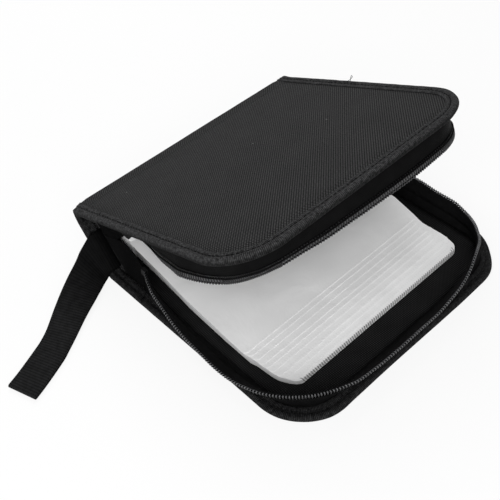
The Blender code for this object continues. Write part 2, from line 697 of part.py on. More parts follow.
def build_spine(looks, parent):
    """Panel, board, lining and end bindings of the spine."""
    padded_panel("spine_outer_panel", spine_ring, looks["shell"], parent)
    flat_sheet("spine_board", spine_ring, BOARD_INSET, BOARD_LOW, BOARD_TOP,
               looks["board"], parent)
    flat_sheet("spine_lining", spine_ring, LINING_INSET, LINING_LOW, LINING_TOP,
               looks["lining"], parent)
    for label, side in (("near", -1), ("far", 1)):
        spine_end_tape("spine_end_tape_" + label, side, looks["tape"], parent)


def main():
    clear_scene()
    looks = {
        "shell": material("shell_nylon", (0.035, 0.035, 0.037), 0.75),
        "tape": material("binding_tape", (0.03, 0.03, 0.032), 0.7),
        "wall": material("wall_nylon", (0.01, 0.01, 0.011), 0.8),
        "lining": material("lining_cloth", (0.008, 0.008, 0.009), 0.8),
        "board": material("stiff_board", (0.35, 0.31, 0.25), 0.9),
        "teeth": material("zip_coil", (0.05, 0.05, 0.055), 0.35),
        "metal": material("black_metal", (0.04, 0.04, 0.042), 0.35, 0.9),
        "film": material("sleeve_film", (0.62, 0.62, 0.62), 0.4),
        "webbing": material("strap_webbing", (0.015, 0.015, 0.016), 0.75),
    }
    frame = SliderFrame()
    spine_hinge = hinge_empty("spine_hinge", BASE.point(0, 0, 0))
    lid_hinge = hinge_empty("lid_hinge", SPINE_TOP)
    tab_hinge = hinge_empty("tab_hinge", tab_pivot(frame))
    base_table = lean_table(BASE_WALL_START, BASE_WALL_LEAN)
    lid_table = lean_table(LID_WALL_START, LID_WALL_LEAN)

    build_cover("base", BASE, base_table, BASE_WALL_START, 0.0, looks, None)
    disc_sleeves("disc_sleeves", looks["film"], None)
    build_spine(looks, spine_hinge)
    sleeve_strip("sleeve_strip", looks["film"], spine_hinge)
    wrist_strap("wrist_strap", looks["webbing"], spine_hinge)
    for label, side in (("near", -1), ("far", 1)):
        end_gusset(label + "_end_gusset", side, base_table, lid_table, looks["wall"], spine_hinge)
    zip_slider("zip_slider", frame, looks["metal"], spine_hinge)
    pull_tab("pull_tab", frame, looks["metal"], tab_hinge)
    tape_proud = TAPE_THICKNESS + SEAT_GAP
    build_cover("lid", LID, lid_table, LID_WALL_START, tape_proud, looks, lid_hinge)


main()
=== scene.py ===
import json
import math

import bmesh
import bpy
from mathutils import Matrix, Vector, noise
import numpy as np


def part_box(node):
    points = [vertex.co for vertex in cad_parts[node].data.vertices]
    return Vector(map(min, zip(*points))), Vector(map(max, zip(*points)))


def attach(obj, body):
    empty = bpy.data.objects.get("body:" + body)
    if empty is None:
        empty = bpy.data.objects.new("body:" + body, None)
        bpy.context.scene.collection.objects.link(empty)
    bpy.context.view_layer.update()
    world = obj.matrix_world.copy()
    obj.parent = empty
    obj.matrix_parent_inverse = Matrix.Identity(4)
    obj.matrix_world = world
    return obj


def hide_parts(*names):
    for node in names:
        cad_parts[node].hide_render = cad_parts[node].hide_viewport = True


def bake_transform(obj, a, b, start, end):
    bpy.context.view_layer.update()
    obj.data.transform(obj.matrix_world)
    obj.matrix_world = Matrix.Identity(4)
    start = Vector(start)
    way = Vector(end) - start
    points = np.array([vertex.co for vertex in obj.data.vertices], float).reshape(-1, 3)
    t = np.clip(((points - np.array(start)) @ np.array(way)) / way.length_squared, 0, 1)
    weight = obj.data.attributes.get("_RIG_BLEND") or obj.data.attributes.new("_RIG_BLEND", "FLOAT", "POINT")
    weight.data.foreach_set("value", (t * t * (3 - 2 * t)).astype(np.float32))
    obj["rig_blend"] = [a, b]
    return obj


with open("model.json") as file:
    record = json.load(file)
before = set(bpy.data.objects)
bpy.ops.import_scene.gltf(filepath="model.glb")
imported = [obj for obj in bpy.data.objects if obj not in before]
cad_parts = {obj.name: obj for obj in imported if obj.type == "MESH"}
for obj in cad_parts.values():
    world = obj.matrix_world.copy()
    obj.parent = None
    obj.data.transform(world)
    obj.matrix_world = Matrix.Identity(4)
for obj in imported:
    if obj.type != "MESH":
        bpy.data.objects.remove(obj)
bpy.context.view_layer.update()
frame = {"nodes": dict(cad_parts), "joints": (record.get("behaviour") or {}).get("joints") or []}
MM = 0.001

# Camera, floor and light
# The camera stands where the photograph was taken from, off the case's near front corner. The
# floor and the world show white, and the light comes from broad soft lamps above.
CAMERA_PLACE = Vector((0.2247, -0.2115, 0.3340))
CAMERA_AZIMUTH = 0.91634
CAMERA_ELEVATION = 0.79873
CAMERA_ROLL = -0.12815
CAMERA_LENS = 59.15
WORLD_LIGHT = 0.29
FLOOR_SIZE = 6.0
FLOOR_DROP = 0.0002
FLOOR_WHITE = 0.85

back = Vector((math.sin(CAMERA_AZIMUTH) * math.cos(CAMERA_ELEVATION),
               -math.cos(CAMERA_AZIMUTH) * math.cos(CAMERA_ELEVATION),
               math.sin(CAMERA_ELEVATION)))
right = Vector((math.cos(CAMERA_AZIMUTH), math.sin(CAMERA_AZIMUTH), 0))
up = back.cross(right)
rolled_right = math.cos(CAMERA_ROLL) * right + math.sin(CAMERA_ROLL) * up
rolled_up = math.cos(CAMERA_ROLL) * up - math.sin(CAMERA_ROLL) * right
camera_data = bpy.data.cameras.new("camera")
camera_data.lens = CAMERA_LENS
camera_data.sensor_width = 36
camera_data.clip_start = 0.01
camera = bpy.data.objects.new("camera", camera_data)
camera.matrix_world = Matrix((
    (rolled_right.x, rolled_up.x, back.x, CAMERA_PLACE.x),
    (rolled_right.y, rolled_up.y, back.y, CAMERA_PLACE.y),
    (rolled_right.z, rolled_up.z, back.z, CAMERA_PLACE.z),
    (0, 0, 0, 1)))
bpy.context.scene.collection.objects.link(camera)
bpy.context.scene.camera = camera
bpy.context.scene.view_settings.view_transform = "Standard"


def add_node(tree, kind, values=None, **settings):
    """Add a shader node: its settings, and its inputs as values or as sockets to link."""
    made = tree.nodes.new(kind)
    for field, value in settings.items():
        setattr(made, field, value)
    for socket, value in (values or {}).items():
        if isinstance(value, bpy.types.NodeSocket):
            tree.links.new(value, made.inputs[socket])
        else:
            made.inputs[socket].default_value = value
    return made


def sums(tree, operation, *values):
    """The result of a Math node."""
    return add_node(tree, "ShaderNodeMath", dict(enumerate(values)), operation=operation).outputs[0]


def show_white(tree, share, shader, kind, output):
    """Mix a white shader of a kind over a tree's own one, by a share, before its output."""
    white = add_node(tree, kind, {"Strength": 1.0})
    mix = add_node(tree, "ShaderNodeMixShader", {0: share, 1: shader.outputs[0], 2: white.outputs[0]})
    tree.links.new(mix.outputs[0], tree.nodes[output].inputs["Surface"])


world = bpy.data.worlds.new("world")
world.use_nodes = True
bpy.context.scene.world = world
tree = world.node_tree
shader = tree.nodes["Background"]
shader.inputs["Color"].default_value = (1, 1, 1, 1)
shader.inputs["Strength"].default_value = WORLD_LIGHT
rays = add_node(tree, "ShaderNodeLightPath").outputs
seen = sums(tree, "MAXIMUM", rays["Is Camera Ray"],
            sums(tree, "MAXIMUM", rays["Is Glossy Ray"], rays["Is Transmission Ray"]))
show_white(tree, seen, shader, "ShaderNodeBackground", "World Output")


def soft_lamp(name, place, aim, size, power):
    lamp = bpy.data.lights.new(name, "AREA")
    lamp.size = size
    lamp.energy = power
    thing = bpy.data.objects.new(name, lamp)
    thing.location = place
    thing.rotation_mode = "QUATERNION"
    thing.rotation_quaternion = (Vector(aim) - Vector(place)).to_track_quat("-Z", "Y")
    bpy.context.scene.collection.objects.link(thing)


soft_lamp("key_lamp", (0.5, -0.52, 0.47), (0.02, 0, 0.02), 0.8, 7.3)
soft_lamp("back_lamp", (-0.5, 0.2, 0.65), (-0.02, 0, 0.06), 0.7, 3.8)

floor_mesh = bmesh.new()
bmesh.ops.create_grid(floor_mesh, x_segments=1, y_segments=1, size=FLOOR_SIZE / 2)
bmesh.ops.translate(floor_mesh, verts=floor_mesh.verts, vec=(0, 0, -FLOOR_DROP))
floor_data = bpy.data.meshes.new("floor")
floor_mesh.to_mesh(floor_data)
floor_mesh.free()
floor = bpy.data.objects.new("floor", floor_data)
bpy.context.scene.collection.objects.link(floor)
floor_look = bpy.data.materials.new("pale_floor")
floor_look.use_nodes = True
tree = floor_look.node_tree
shader = tree.nodes["Principled BSDF"]
shader.inputs["Base Color"].default_value = (0.9, 0.9, 0.9, 1)
shader.inputs["Roughness"].default_value = 0.9
rays = add_node(tree, "ShaderNodeLightPath").outputs
seen = sums(tree, "MULTIPLY", rays["Is Camera Ray"], FLOOR_WHITE)
show_white(tree, seen, shader, "ShaderNodeEmission", "Material Output")
floor_data.materials.append(floor_look)

# Outer nylon
# One length of black nylon over thin foam makes both covers and the spine between them. It is
# cut with two rounded corners at each end, folded twice over the spine's edges, and sewn into
# the binding tape all round.
COVER_DEPTH = 152.0 * MM
COVER_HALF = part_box("base_edge_binding")[1].y
CORNER_RADIUS = 29.0 * MM
SPINE_WIDTH = 44.7 * MM
SPINE_ANGLE = math.radians(121.0)
LID_ANGLE = math.radians(20.8)
FOLD_REACH = 9.0 * MM
BINDING_DEPTH = 3.0 * MM
NYLON_INSET = 4.0 * MM
NYLON_THICKNESS = 0.5 * MM
NYLON_STEP = 3.2 * MM
NYLON_SPARE = 30.0 * MM
TABLE_GAP = 0.03 * MM
PAD_SINK = 0.75 * MM
PAD_FOOT = 6.7 * MM
PAD_TOP = 10.0 * MM
PAD_RINGS = (2.4 * MM, 0.5 * MM, 0.7 * MM, 0.9 * MM, 1.2 * MM)
LID_CROWN = 0.5 * MM
CROWN_START = 30.0 * MM
CROWN_REACH = 40.0 * MM
NYLON_WAVE = 0.22 * MM
NYLON_PITCH = 0.81 * MM
NYLON_COLOUR = (0.034, 0.034, 0.0345)

joints = {joint["name"]: Vector(joint["pos_m"]) for joint in frame["joints"]}
BASE_FOLD = joints["spine_hinge"]
LID_FOLD = joints["lid_hinge"]


def cover(fold, angle, inward):
    """Places on a flat cover: u away from its fold, y along it, depth in from its outer face."""
    along = Vector((math.cos(angle), 0, math.sin(angle)))
    inside = inward * Vector((-math.sin(angle), 0, math.cos(angle)))

    def place(u, y, depth):
        return fold + u * along + Vector((0, y, 0)) + depth * inside

    return place


on_base = cover(BASE_FOLD, 0.0, 1)
on_spine = cover(BASE_FOLD, SPINE_ANGLE, -1)
on_lid = cover(LID_FOLD, LID_ANGLE, -1)


def spine_from_lid(u, y, depth):
    return on_spine(SPINE_WIDTH - u, y, depth)


def clamped(share):
    """A share, held between 0 and 1."""
    return min(max(share, 0), 1)


def soft_ramp(run, softness):
    """Zero before a fold and the run after it, eased across the fold."""
    if abs(run) >= softness:
        return max(run, 0.0)
    return (run + softness) ** 2 / (4 * softness)


def over_fold(before, after, turn, softness, lift):
    """Bend cloth over a fold: the run is negative before it and positive after it."""
    outward = (2 * before(0, 0, 0) - before(1, 0, 0) - after(1, 0, 0)).normalized()

    def shape(run, y, depth):
        mitre = depth * math.tan(turn / 2)
        share = (FOLD_REACH - mitre) / FOLD_REACH
        first = before(mitre + share * soft_ramp(-run, softness), y, depth)
        second = after(mitre + share * soft_ramp(run, softness), y, depth)
        ease = 0.5 + 0.5 * math.cos(math.pi * min(abs(run) / FOLD_REACH, 1))
        rise = lift * ease ** 1.5 * max(0.0, 1 - depth / BINDING_DEPTH)
        return first + second - after(mitre, y, depth) + rise * outward

    return shape


over_lower_fold = over_fold(on_base, on_spine, math.pi - SPINE_ANGLE, 1.8 * MM, 0.3 * MM)
over_upper_fold = over_fold(spine_from_lid, on_lid, SPINE_ANGLE - LID_ANGLE, 2.6 * MM, 1.3 * MM)


def edge_distance(u, y):
    """How far a point of a cover lies inside its outline."""
    corner_u = COVER_DEPTH - CORNER_RADIUS
    corner_y = COVER_HALF - CORNER_RADIUS
    if u > corner_u and abs(y) > corner_y:
        return CORNER_RADIUS - math.hypot(u - corner_u, abs(y) - corner_y)
    return min(COVER_HALF - abs(y), COVER_DEPTH - u)


def flat_cloth(start, end, half, corner, segments):
    """A flat rectangle of cloth, with its far corners rounded where it has a corner radius."""
    cloth = bmesh.new()
    bmesh.ops.create_grid(cloth, x_segments=1, y_segments=1, size=0.5)
    bmesh.ops.scale(cloth, vec=(end - start, 2 * half, 1), verts=cloth.verts)
    bmesh.ops.translate(cloth, vec=((start + end) / 2, 0, 0), verts=cloth.verts)
    if corner:
        far = [vert for vert in cloth.verts if vert.co.x > start + MM]
        bmesh.ops.bevel(cloth, geom=far, offset=corner, segments=segments, profile=0.5,
                        affect="VERTICES", material=-1)
    return cloth


def inset_middle(cloth, width):
    """Set a ring of faces into the largest face of flat cloth."""
    middle = max(cloth.faces, key=lambda face: face.calc_area())
    bmesh.ops.inset_region(cloth, faces=[middle], thickness=width, use_even_offset=True)


def cut_rows(cloth, axis, first, last, step, least=1):
    """Cut flat cloth along an axis into rows of faces about a step wide."""
    count = max(round((last - first) / step), least)
    for i in range(1, count):
        place = Vector((0, 0, 0))
        place[axis] = first + (last - first) * i / count
        across = Vector((0, 0, 0))
        across[axis] = 1
        bmesh.ops.bisect_plane(cloth, geom=cloth.verts[:] + cloth.edges[:] + cloth.faces[:],
                               plane_co=place, plane_no=across)


def nylon_blank(low, high, rounded):
    """Flat nylon between two cut lines, with rows of faces that follow its sewn edge."""
    end = COVER_DEPTH - NYLON_INSET if rounded else high + NYLON_SPARE
    half = COVER_HALF - NYLON_INSET
    corner = CORNER_RADIUS - NYLON_INSET if rounded else 0.0
    cloth = flat_cloth(low - NYLON_SPARE, end, half, corner, 14)
    for width in PAD_RINGS:
        inset_middle(cloth, width)
    for cut, way in ((low, 1), (high, -1)):
        if cut < end:
            bmesh.ops.bisect_plane(cloth, geom=cloth.verts[:] + cloth.edges[:] + cloth.faces[:],
                                   plane_co=(cut, 0, 0), plane_no=(-way, 0, 0), clear_outer=True)
    cut_rows(cloth, 0, low, min(high, end), NYLON_STEP)
    cut_rows(cloth, 1, -half, half, NYLON_STEP)
    return cloth


def chart(cloth, shift=0.0, way=1.0):
    """Give flat cloth its UV map, in metres, before it is bent."""
    uv = cloth.loops.layers.uv.new("UVMap")
    for face in cloth.faces:
        face.smooth = True
        for loop in face.loops:
            loop[uv].uv = (shift + way * loop.vert.co.x, loop.vert.co.y)


def face_from(cloth, inside):
    """Turn open cloth so that its faces look away from a point inside."""
    cloth.normal_update()
    if sum(face.normal.dot(face.calc_center_median() - inside) for face in cloth.faces) < 0:
        bmesh.ops.reverse_faces(cloth, faces=cloth.faces)


def make(name, cloth, look, thickness=None, offset=-1):
    """Turn a bmesh into a named piece that keeps above the table, with a cloth thickness."""
    for vert in cloth.verts:
        vert.co.z = max(vert.co.z, TABLE_GAP)
    mesh = bpy.data.meshes.new(name)
    cloth.to_mesh(mesh)
    cloth.free()
    mesh.materials.append(look)
    piece = bpy.data.objects.new(name, mesh)
    bpy.context.scene.collection.objects.link(piece)
    if thickness:
        wall = piece.modifiers.new("cloth", "SOLIDIFY")
        wall.thickness = thickness
        wall.offset = offset
    return piece


def pad_depth(u, y, inset, crown):
    """Depth of the padded face: sunk beside the binding, slightly crowned and wavy inside."""
    share = clamped((inset - PAD_FOOT) / (PAD_TOP - PAD_FOOT))
    rise = share * (2 - share)
    middle = clamped((inset - PAD_TOP) / CROWN_REACH)
    swell = crown * (1 - (1 - middle) ** 2)
    wave = noise.noise(Vector((u * 28, y * 28, 4.2))) + 0.5 * noise.noise(Vector((u * 70, y * 70, 9)))
    return PAD_SINK * (1 - rise) - swell - NYLON_WAVE * wave * middle


def ridges(tree, value):
    """Rounded ridges, one for each whole step of a value."""
    return sums(tree, "ABSOLUTE", sums(tree, "SINE", sums(tree, "MULTIPLY", value, math.pi)))


def ranged(tree, value, low, high, start=0.0, end=1.0):
    """Low where a value is at its start and high where it is at its end."""
    return add_node(tree, "ShaderNodeMapRange",
                    {0: value, 1: start, 2: end, 3: low, 4: high}).outputs[0]


def new_group(name, inputs, outputs):
    """A shader node group with float sockets, a Vector first: its tree, inputs and outputs."""
    tree = bpy.data.node_groups.new(name, "ShaderNodeTree")
    tree.interface.new_socket("Vector", in_out="INPUT", socket_type="NodeSocketVector")
    for label, value in inputs:
        socket = tree.interface.new_socket(label, in_out="INPUT", socket_type="NodeSocketFloat")
        socket.default_value = value
    for label in outputs:
        tree.interface.new_socket(label, in_out="OUTPUT", socket_type="NodeSocketFloat")
    return tree, tree.nodes.new("NodeGroupInput").outputs, tree.nodes.new("NodeGroupOutput").inputs


weave, given, result = new_group("plain_weave", [("Threads", 1234.0)], ["Height", "Over"])
grid = add_node(weave, "ShaderNodeVectorMath",
                {0: given["Vector"], "Scale": given["Threads"]}, operation="SCALE").outputs[0]
split = add_node(weave, "ShaderNodeSeparateXYZ", {0: grid})
warp = ridges(weave, split.outputs[0])
weft = ridges(weave, split.outputs[1])
over = add_node(weave, "ShaderNodeTexChecker", {0: grid, "Scale": 1.0}).outputs["Fac"]
along_warp = sums(weave, "MULTIPLY", warp, sums(weave, "POWER", weft, 0.35))
along_weft = sums(weave, "MULTIPLY", weft, sums(weave, "POWER", warp, 0.35))
thread = add_node(weave, "ShaderNodeMix", {0: over, 2: along_warp, 3: along_weft})
weave.links.new(thread.outputs[0], result["Height"])
weave.links.new(over, result["Over"])

mottle, given, result = new_group("mottle", [("Scale", 200.0), ("Low", 0.8), ("High", 1.2)],
                                  ["Value"])
cloud = add_node(mottle, "ShaderNodeTexNoise",
                 {"Vector": given["Vector"], "Scale": given["Scale"], "Detail": 3.0}).outputs[0]
mottle.links.new(ranged(mottle, cloud, given["Low"], given["High"], 0.3, 0.7), result["Value"])


def look_with(name, colour, roughness, sheen=0.0, specular=0.02):
    """A material and its shader, with the values that are the same all over."""
    made = bpy.data.materials.new(name)
    made.use_nodes = True
    shader = made.node_tree.nodes["Principled BSDF"]
    shader.inputs["Base Color"].default_value = (*colour, 1)
    shader.inputs["Roughness"].default_value = roughness
    shader.inputs["Sheen Weight"].default_value = sheen
    shader.inputs["Sheen Roughness"].default_value = 0.4
    shader.inputs["Specular IOR Level"].default_value = specular
    return made, made.node_tree, shader


def use_group(tree, group, values):
    return add_node(tree, "ShaderNodeGroup", values, node_tree=group).outputs


def shade(tree, shader, colour, *factors):
    """Feed Base Color with a colour multiplied by each factor."""
    factor = factors[0]
    for other in factors[1:]:
        factor = sums(tree, "MULTIPLY", factor, other)
    tinted = add_node(tree, "ShaderNodeVectorMath", {0: colour, "Scale": factor}, operation="SCALE")
    tree.links.new(tinted.outputs[0], shader.inputs["Base Color"])


def raise_bump(tree, shader, height, distance):
    bump = add_node(tree, "ShaderNodeBump", {"Height": height, "Distance": distance, "Strength": 1.0})
    tree.links.new(bump.outputs[0], shader.inputs["Normal"])


def on_chart(tree):
    """A piece's flat coordinates, in metres."""
    return add_node(tree, "ShaderNodeUVMap", uv_map="UVMap").outputs[0]


def in_piece(tree):
    """A piece's own coordinates, in metres."""
    return add_node(tree, "ShaderNodeTexCoord").outputs["Object"]


def mottled(tree, place, scale, low, high):
    """Soft uneven patches: a factor between low and high, with so many changes in a metre."""
    return use_group(tree, mottle, {"Vector": place, "Scale": scale, "Low": low, "High": high})[0]


nylon_look, tree, shader = look_with("ribbed_nylon", NYLON_COLOUR, 0.62, sheen=0.01)
chart_map = on_chart(tree)
woven = use_group(tree, weave, {"Vector": chart_map, "Threads": 1 / NYLON_PITCH})
# Painted light and shade: floats of one direction coloured lighter, as light catches them, valleys darker
shade(tree, shader, NYLON_COLOUR, ranged(tree, woven["Over"], 0.3, 1.7),
      ranged(tree, woven["Height"], 0.2, 1.42), mottled(tree, chart_map, 60.0, 0.93, 1.07),
      mottled(tree, chart_map, 900.0, 0.75, 1.25))
raise_bump(tree, shader, woven["Height"], 0.2 * MM)

for label, place, body, crown, node in (
        ("base", on_base, "case_base", 0.0, "base_outer_panel"),
        ("lid", on_lid, "lid", LID_CROWN, "lid_outer_panel")):
    cloth = nylon_blank(FOLD_REACH, COVER_DEPTH, rounded=True)
    chart(cloth, *((0.0, -1.0) if label == "base" else (SPINE_WIDTH, 1.0)))
    for vert in cloth.verts:
        u, y = vert.co.xy
        from_fold = min((u - FOLD_REACH) / CROWN_START, 1)
        vert.co = place(u, y, pad_depth(u, y, edge_distance(u, y), crown * from_fold))
    face_from(cloth, place(COVER_DEPTH / 2, 0, 20 * MM))
    piece = make(label + "_cover_cloth", cloth, nylon_look, NYLON_THICKNESS)
    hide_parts(node)
    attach(piece, body)

cloth = nylon_blank(FOLD_REACH, SPINE_WIDTH - FOLD_REACH, rounded=False)
chart(cloth)
for vert in cloth.verts:
    u, y = vert.co.xy
    vert.co = on_spine(u, y, pad_depth(u, y, COVER_HALF - abs(y), 0.0))
face_from(cloth, on_spine(SPINE_WIDTH / 2, 0, 20 * MM))
spine_cloth = make("spine_cloth", cloth, nylon_look, NYLON_THICKNESS)
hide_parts("spine_outer_panel")
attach(spine_cloth, "spine")

LOWER_WAY = (on_spine(1, 0, 0) - on_base(1, 0, 0)).normalized()
UPPER_WAY = (on_lid(1, 0, 0) - spine_from_lid(1, 0, 0)).normalized()
FOLD_BLEND = 2.8 * MM


def blend_over(piece, lower):
    """Let a piece bend with the fold it crosses."""
    if lower:
        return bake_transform(piece, "case_base", "spine", start=BASE_FOLD - FOLD_BLEND * LOWER_WAY,
                        end=BASE_FOLD + FOLD_BLEND * LOWER_WAY)
    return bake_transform(piece, "spine", "lid", start=LID_FOLD - FOLD_BLEND * UPPER_WAY,
                    end=LID_FOLD + FOLD_BLEND * UPPER_WAY)


for lower, name, shape, shift in ((True, "lower_fold_cloth", over_lower_fold, 0.0),
                                  (False, "upper_fold_cloth", over_upper_fold, SPINE_WIDTH)):
    cloth = nylon_blank(-FOLD_REACH, FOLD_REACH, rounded=False)
    bmesh.ops.subdivide_edges(
        cloth, edges=[edge for edge in cloth.edges
                      if abs(edge.verts[0].co.x - edge.verts[1].co.x) > MM], cuts=2)
    chart(cloth, shift=shift)
    for vert in cloth.verts:
        run, y = vert.co.xy
        flatter = 0.35 + 0.65 * abs(run) / FOLD_REACH
        vert.co = shape(run, y, flatter * pad_depth(run, y, COVER_HALF - abs(y), 0.0))
    face_from(cloth, shape(0, 0, 2 * MM))
    piece = make(name, cloth, nylon_look, NYLON_THICKNESS)
    blend_over(piece, lower)

# Stiff boards
# A thin fibre board stands between cloth and lining in each cover and in the spine. They are
# closed in all round, so the solids stay as they are, with the look of pressed fibre.
BOARD_COLOUR = (0.35, 0.31, 0.25)
board_look, tree, shader = look_with("fibre_board", BOARD_COLOUR, 0.9)
pulp = mottled(tree, in_piece(tree), 700.0, 0.8, 1.15)
shade(tree, shader, BOARD_COLOUR, pulp)
raise_bump(tree, shader, pulp, 0.05 * MM)
for name in ("base_board", "spine_board", "lid_board"):
    frame["nodes"][name].data.materials.clear()
    frame["nodes"][name].data.materials.append(board_look)

# Lining
# Fine black cloth covers the inner face of both covers and the spine. It is one length too,
# creased into both folds, and its edge is caught under the binding's inner side.
LINING_INSET = 7.4 * MM
LINING_DEPTH = 3.3 * MM
LINING_THICKNESS = 0.35 * MM
LINING_STEP = 4.0 * MM
LINING_WAVE = 0.18 * MM
LINING_PITCH = 0.72 * MM
LINING_TURN = math.radians(50)
LINING_COLOUR = (0.017, 0.017, 0.0174)

lining_look, tree, shader = look_with("black_lining", LINING_COLOUR, 0.6)
chart_map = on_chart(tree)
turned = add_node(tree, "ShaderNodeMapping", {0: chart_map, "Rotation": (0, 0, LINING_TURN)},
                  vector_type="POINT").outputs[0]
woven = use_group(tree, weave, {"Vector": turned, "Threads": 1 / LINING_PITCH})
# Painted light and shade: floats of one direction coloured lighter, as light catches them, valleys darker
shade(tree, shader, LINING_COLOUR, ranged(tree, woven["Over"], 0.4, 1.6),
      ranged(tree, woven["Height"], 0.3, 1.35), mottled(tree, chart_map, 90.0, 0.85, 1.15))
raise_bump(tree, shader, woven["Height"], 0.1 * MM)


def lining_blank(low, high, rounded):
    """Flat lining between two cut lines, with rounded front corners where it has them."""
    half = COVER_HALF - LINING_INSET
    cloth = flat_cloth(low, high, half, CORNER_RADIUS - LINING_INSET if rounded else 0.0, 12)
    cut_rows(cloth, 0, low, high, LINING_STEP, least=6)
    cut_rows(cloth, 1, -half, half, LINING_STEP, least=6)
    return cloth


def lining_depth(u, y):
    return LINING_DEPTH + LINING_WAVE * (noise.noise(Vector((u * 45, y * 45, 2))) + 0.3)


for name, place, body, low, high, rounded, node in (
        ("base_lining_cloth", on_base, "case_base", FOLD_REACH, COVER_DEPTH - LINING_INSET, True,
         "base_lining"),
        ("spine_lining_cloth", on_spine, "spine", FOLD_REACH, SPINE_WIDTH - FOLD_REACH, False,
         "spine_lining"),
        ("lid_lining_cloth", on_lid, "lid", FOLD_REACH, COVER_DEPTH - LINING_INSET, True,
         "lid_lining")):
    cloth = lining_blank(low, high, rounded)
    chart(cloth)
    flat_area = sum(face.calc_area() for face in cloth.faces)
    for vert in cloth.verts:
        u, y = vert.co.xy
        vert.co = place(u, y, lining_depth(u, y))
    face_from(cloth, place((low + high) / 2, 0, -20 * MM))
    piece = make(name, cloth, lining_look, LINING_THICKNESS)
    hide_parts(node)
    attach(piece, body)
for lower, name, shape in ((True, "lower_fold_lining", over_lower_fold),
                           (False, "upper_fold_lining", over_upper_fold)):
    cloth = lining_blank(-FOLD_REACH, FOLD_REACH, False)
    chart(cloth)
    for vert in cloth.verts:
        run, y = vert.co.xy
        vert.co = shape(run, y, lining_depth(abs(run), y))
    face_from(cloth, shape(0, 0, -20 * MM))
    piece = make(name, cloth, lining_look, LINING_THICKNESS)
    blend_over(piece, lower)

# Soft walls
# A strip of plain black nylon is sewn into the binding on three sides of each cover. It leans
# as the cloth happens to stand, and its upper edge is turned in over the zip's tape.
SIDE_RUN = COVER_DEPTH - CORNER_RADIUS
ARC_RUN = CORNER_RADIUS * math.pi / 2
EDGE_RUN = 2 * SIDE_RUN + 2 * ARC_RUN + 2 * (COVER_HALF - CORNER_RADIUS)
WALL_FOOT = 6.8 * MM
WALL_BASE = 3.3 * MM
WALL_STARTS = {"base": 24.5 * MM, "lid": 29.5 * MM}
WALL_STEP = 1.9 * MM
WALL_WAVE = 0.35 * MM
WALL_PITCH = 0.45 * MM
WALL_COLOUR = (0.004, 0.004, 0.0041)
# Painted light: how much lighter the inner side is coloured, and where that side begins on its chart
WALL_INSIDE_PAINTED_LIGHT = 1.9
WALL_TURNED = (13 * MM, 15 * MM)
# Lean of the wall away from the case in degrees, at runs in millimetres round the cover's edge
WALL_LEANS = {
    "base": ((24.5, -9), (34, 9), (44, 22), (69, 42), (84, 47), (98, 50), (110, 48), (121, 38),
             (132, 26), (141, 20), (150, 19), (159, 21), (167, 27), (176, 36), (200, 41),
             (218, 41), (235, 40), (250, 33), (263, 20), (276, 2), (287, -5), (300, -9),
             (317, -4), (328, 6), (342, 8), (353, 12), (380, 8), (417.6, -7)),
    "lid": ((29.5, -28), (45, -23), (66, -4), (87, 12), (96, 18), (107, 14), (116, 5), (124, -6),
            (141, -17), (160, -20), (178, -13), (200, -3), (225, 3), (250, 7), (268, 3),
            (282, 0), (298, 4), (311, 12), (340, 8), (375, 3), (412.6, -9))}


def outline(run):
    """Place and outward direction on a cover's outline, as u, y, out u and out y."""
    if run <= SIDE_RUN:
        return run, -COVER_HALF, 0.0, -1.0
    if run <= SIDE_RUN + ARC_RUN:
        turn = (run - SIDE_RUN) / CORNER_RADIUS
        away = (math.sin(turn), -math.cos(turn))
        return (SIDE_RUN + CORNER_RADIUS * away[0],
                CORNER_RADIUS - COVER_HALF + CORNER_RADIUS * away[1], *away)
    if run <= EDGE_RUN / 2:
        return COVER_DEPTH, CORNER_RADIUS - COVER_HALF + run - SIDE_RUN - ARC_RUN, 1.0, 0.0
    u, y, out_u, out_y = outline(EDGE_RUN - run)
    return u, -y, out_u, -out_y


def edge_of(place):
    """Places round a cover's edge: run along it, out from it and depth in from its face."""
    def shape(run, out, depth):
        u, y, out_u, out_y = outline(run)
        return place(u + out * out_u, y + out * out_y, depth)
    return shape


def row_at(table, place):
    """The row of a table at or before a place, and the share of the way to the next row."""
    place = min(max(place, table[0][0]), table[-1][0])
    i = max(k for k in range(len(table) - 1) if table[k][0] <= place)
    return i, (place - table[i][0]) / (table[i + 1][0] - table[i][0])


def lean_at(label, run):
    """Lean of a wall at a run, on a smooth curve through its table."""
    table = WALL_LEANS[label]
    i, share = row_at(table, run / MM)
    (x0, y0), (x1, y1) = table[i], table[i + 1]
    before = table[max(i - 1, 0)]
    after = table[min(i + 2, len(table) - 1)]
    slope0 = (y1 - before[1]) / (x1 - before[0])
    slope1 = (after[1] - y0) / (after[0] - x0)
    span = x1 - x0
    return math.radians(
        (1 + 2 * share) * (1 - share) ** 2 * y0 + share * (1 - share) ** 2 * span * slope0
        + share ** 2 * (3 - 2 * share) * y1 + share ** 2 * (share - 1) * span * slope1)


def wall_of(label, place):
    """Places in a leaning wall: run, up its slant from the binding and out from its outer face."""
    on_edge = edge_of(place)

    def shape(run, up, out):
        lean = lean_at(label, run)
        wave = WALL_WAVE * noise.noise(Vector((run * 60, up * 60, 3 if label == "lid" else 8)))
        out += wave * min(up / (5 * MM), 1)
        return on_edge(run, -WALL_FOOT + up * math.sin(lean) + out * math.cos(lean),
                       WALL_BASE + up * math.cos(lean) - out * math.sin(lean))

    return shape


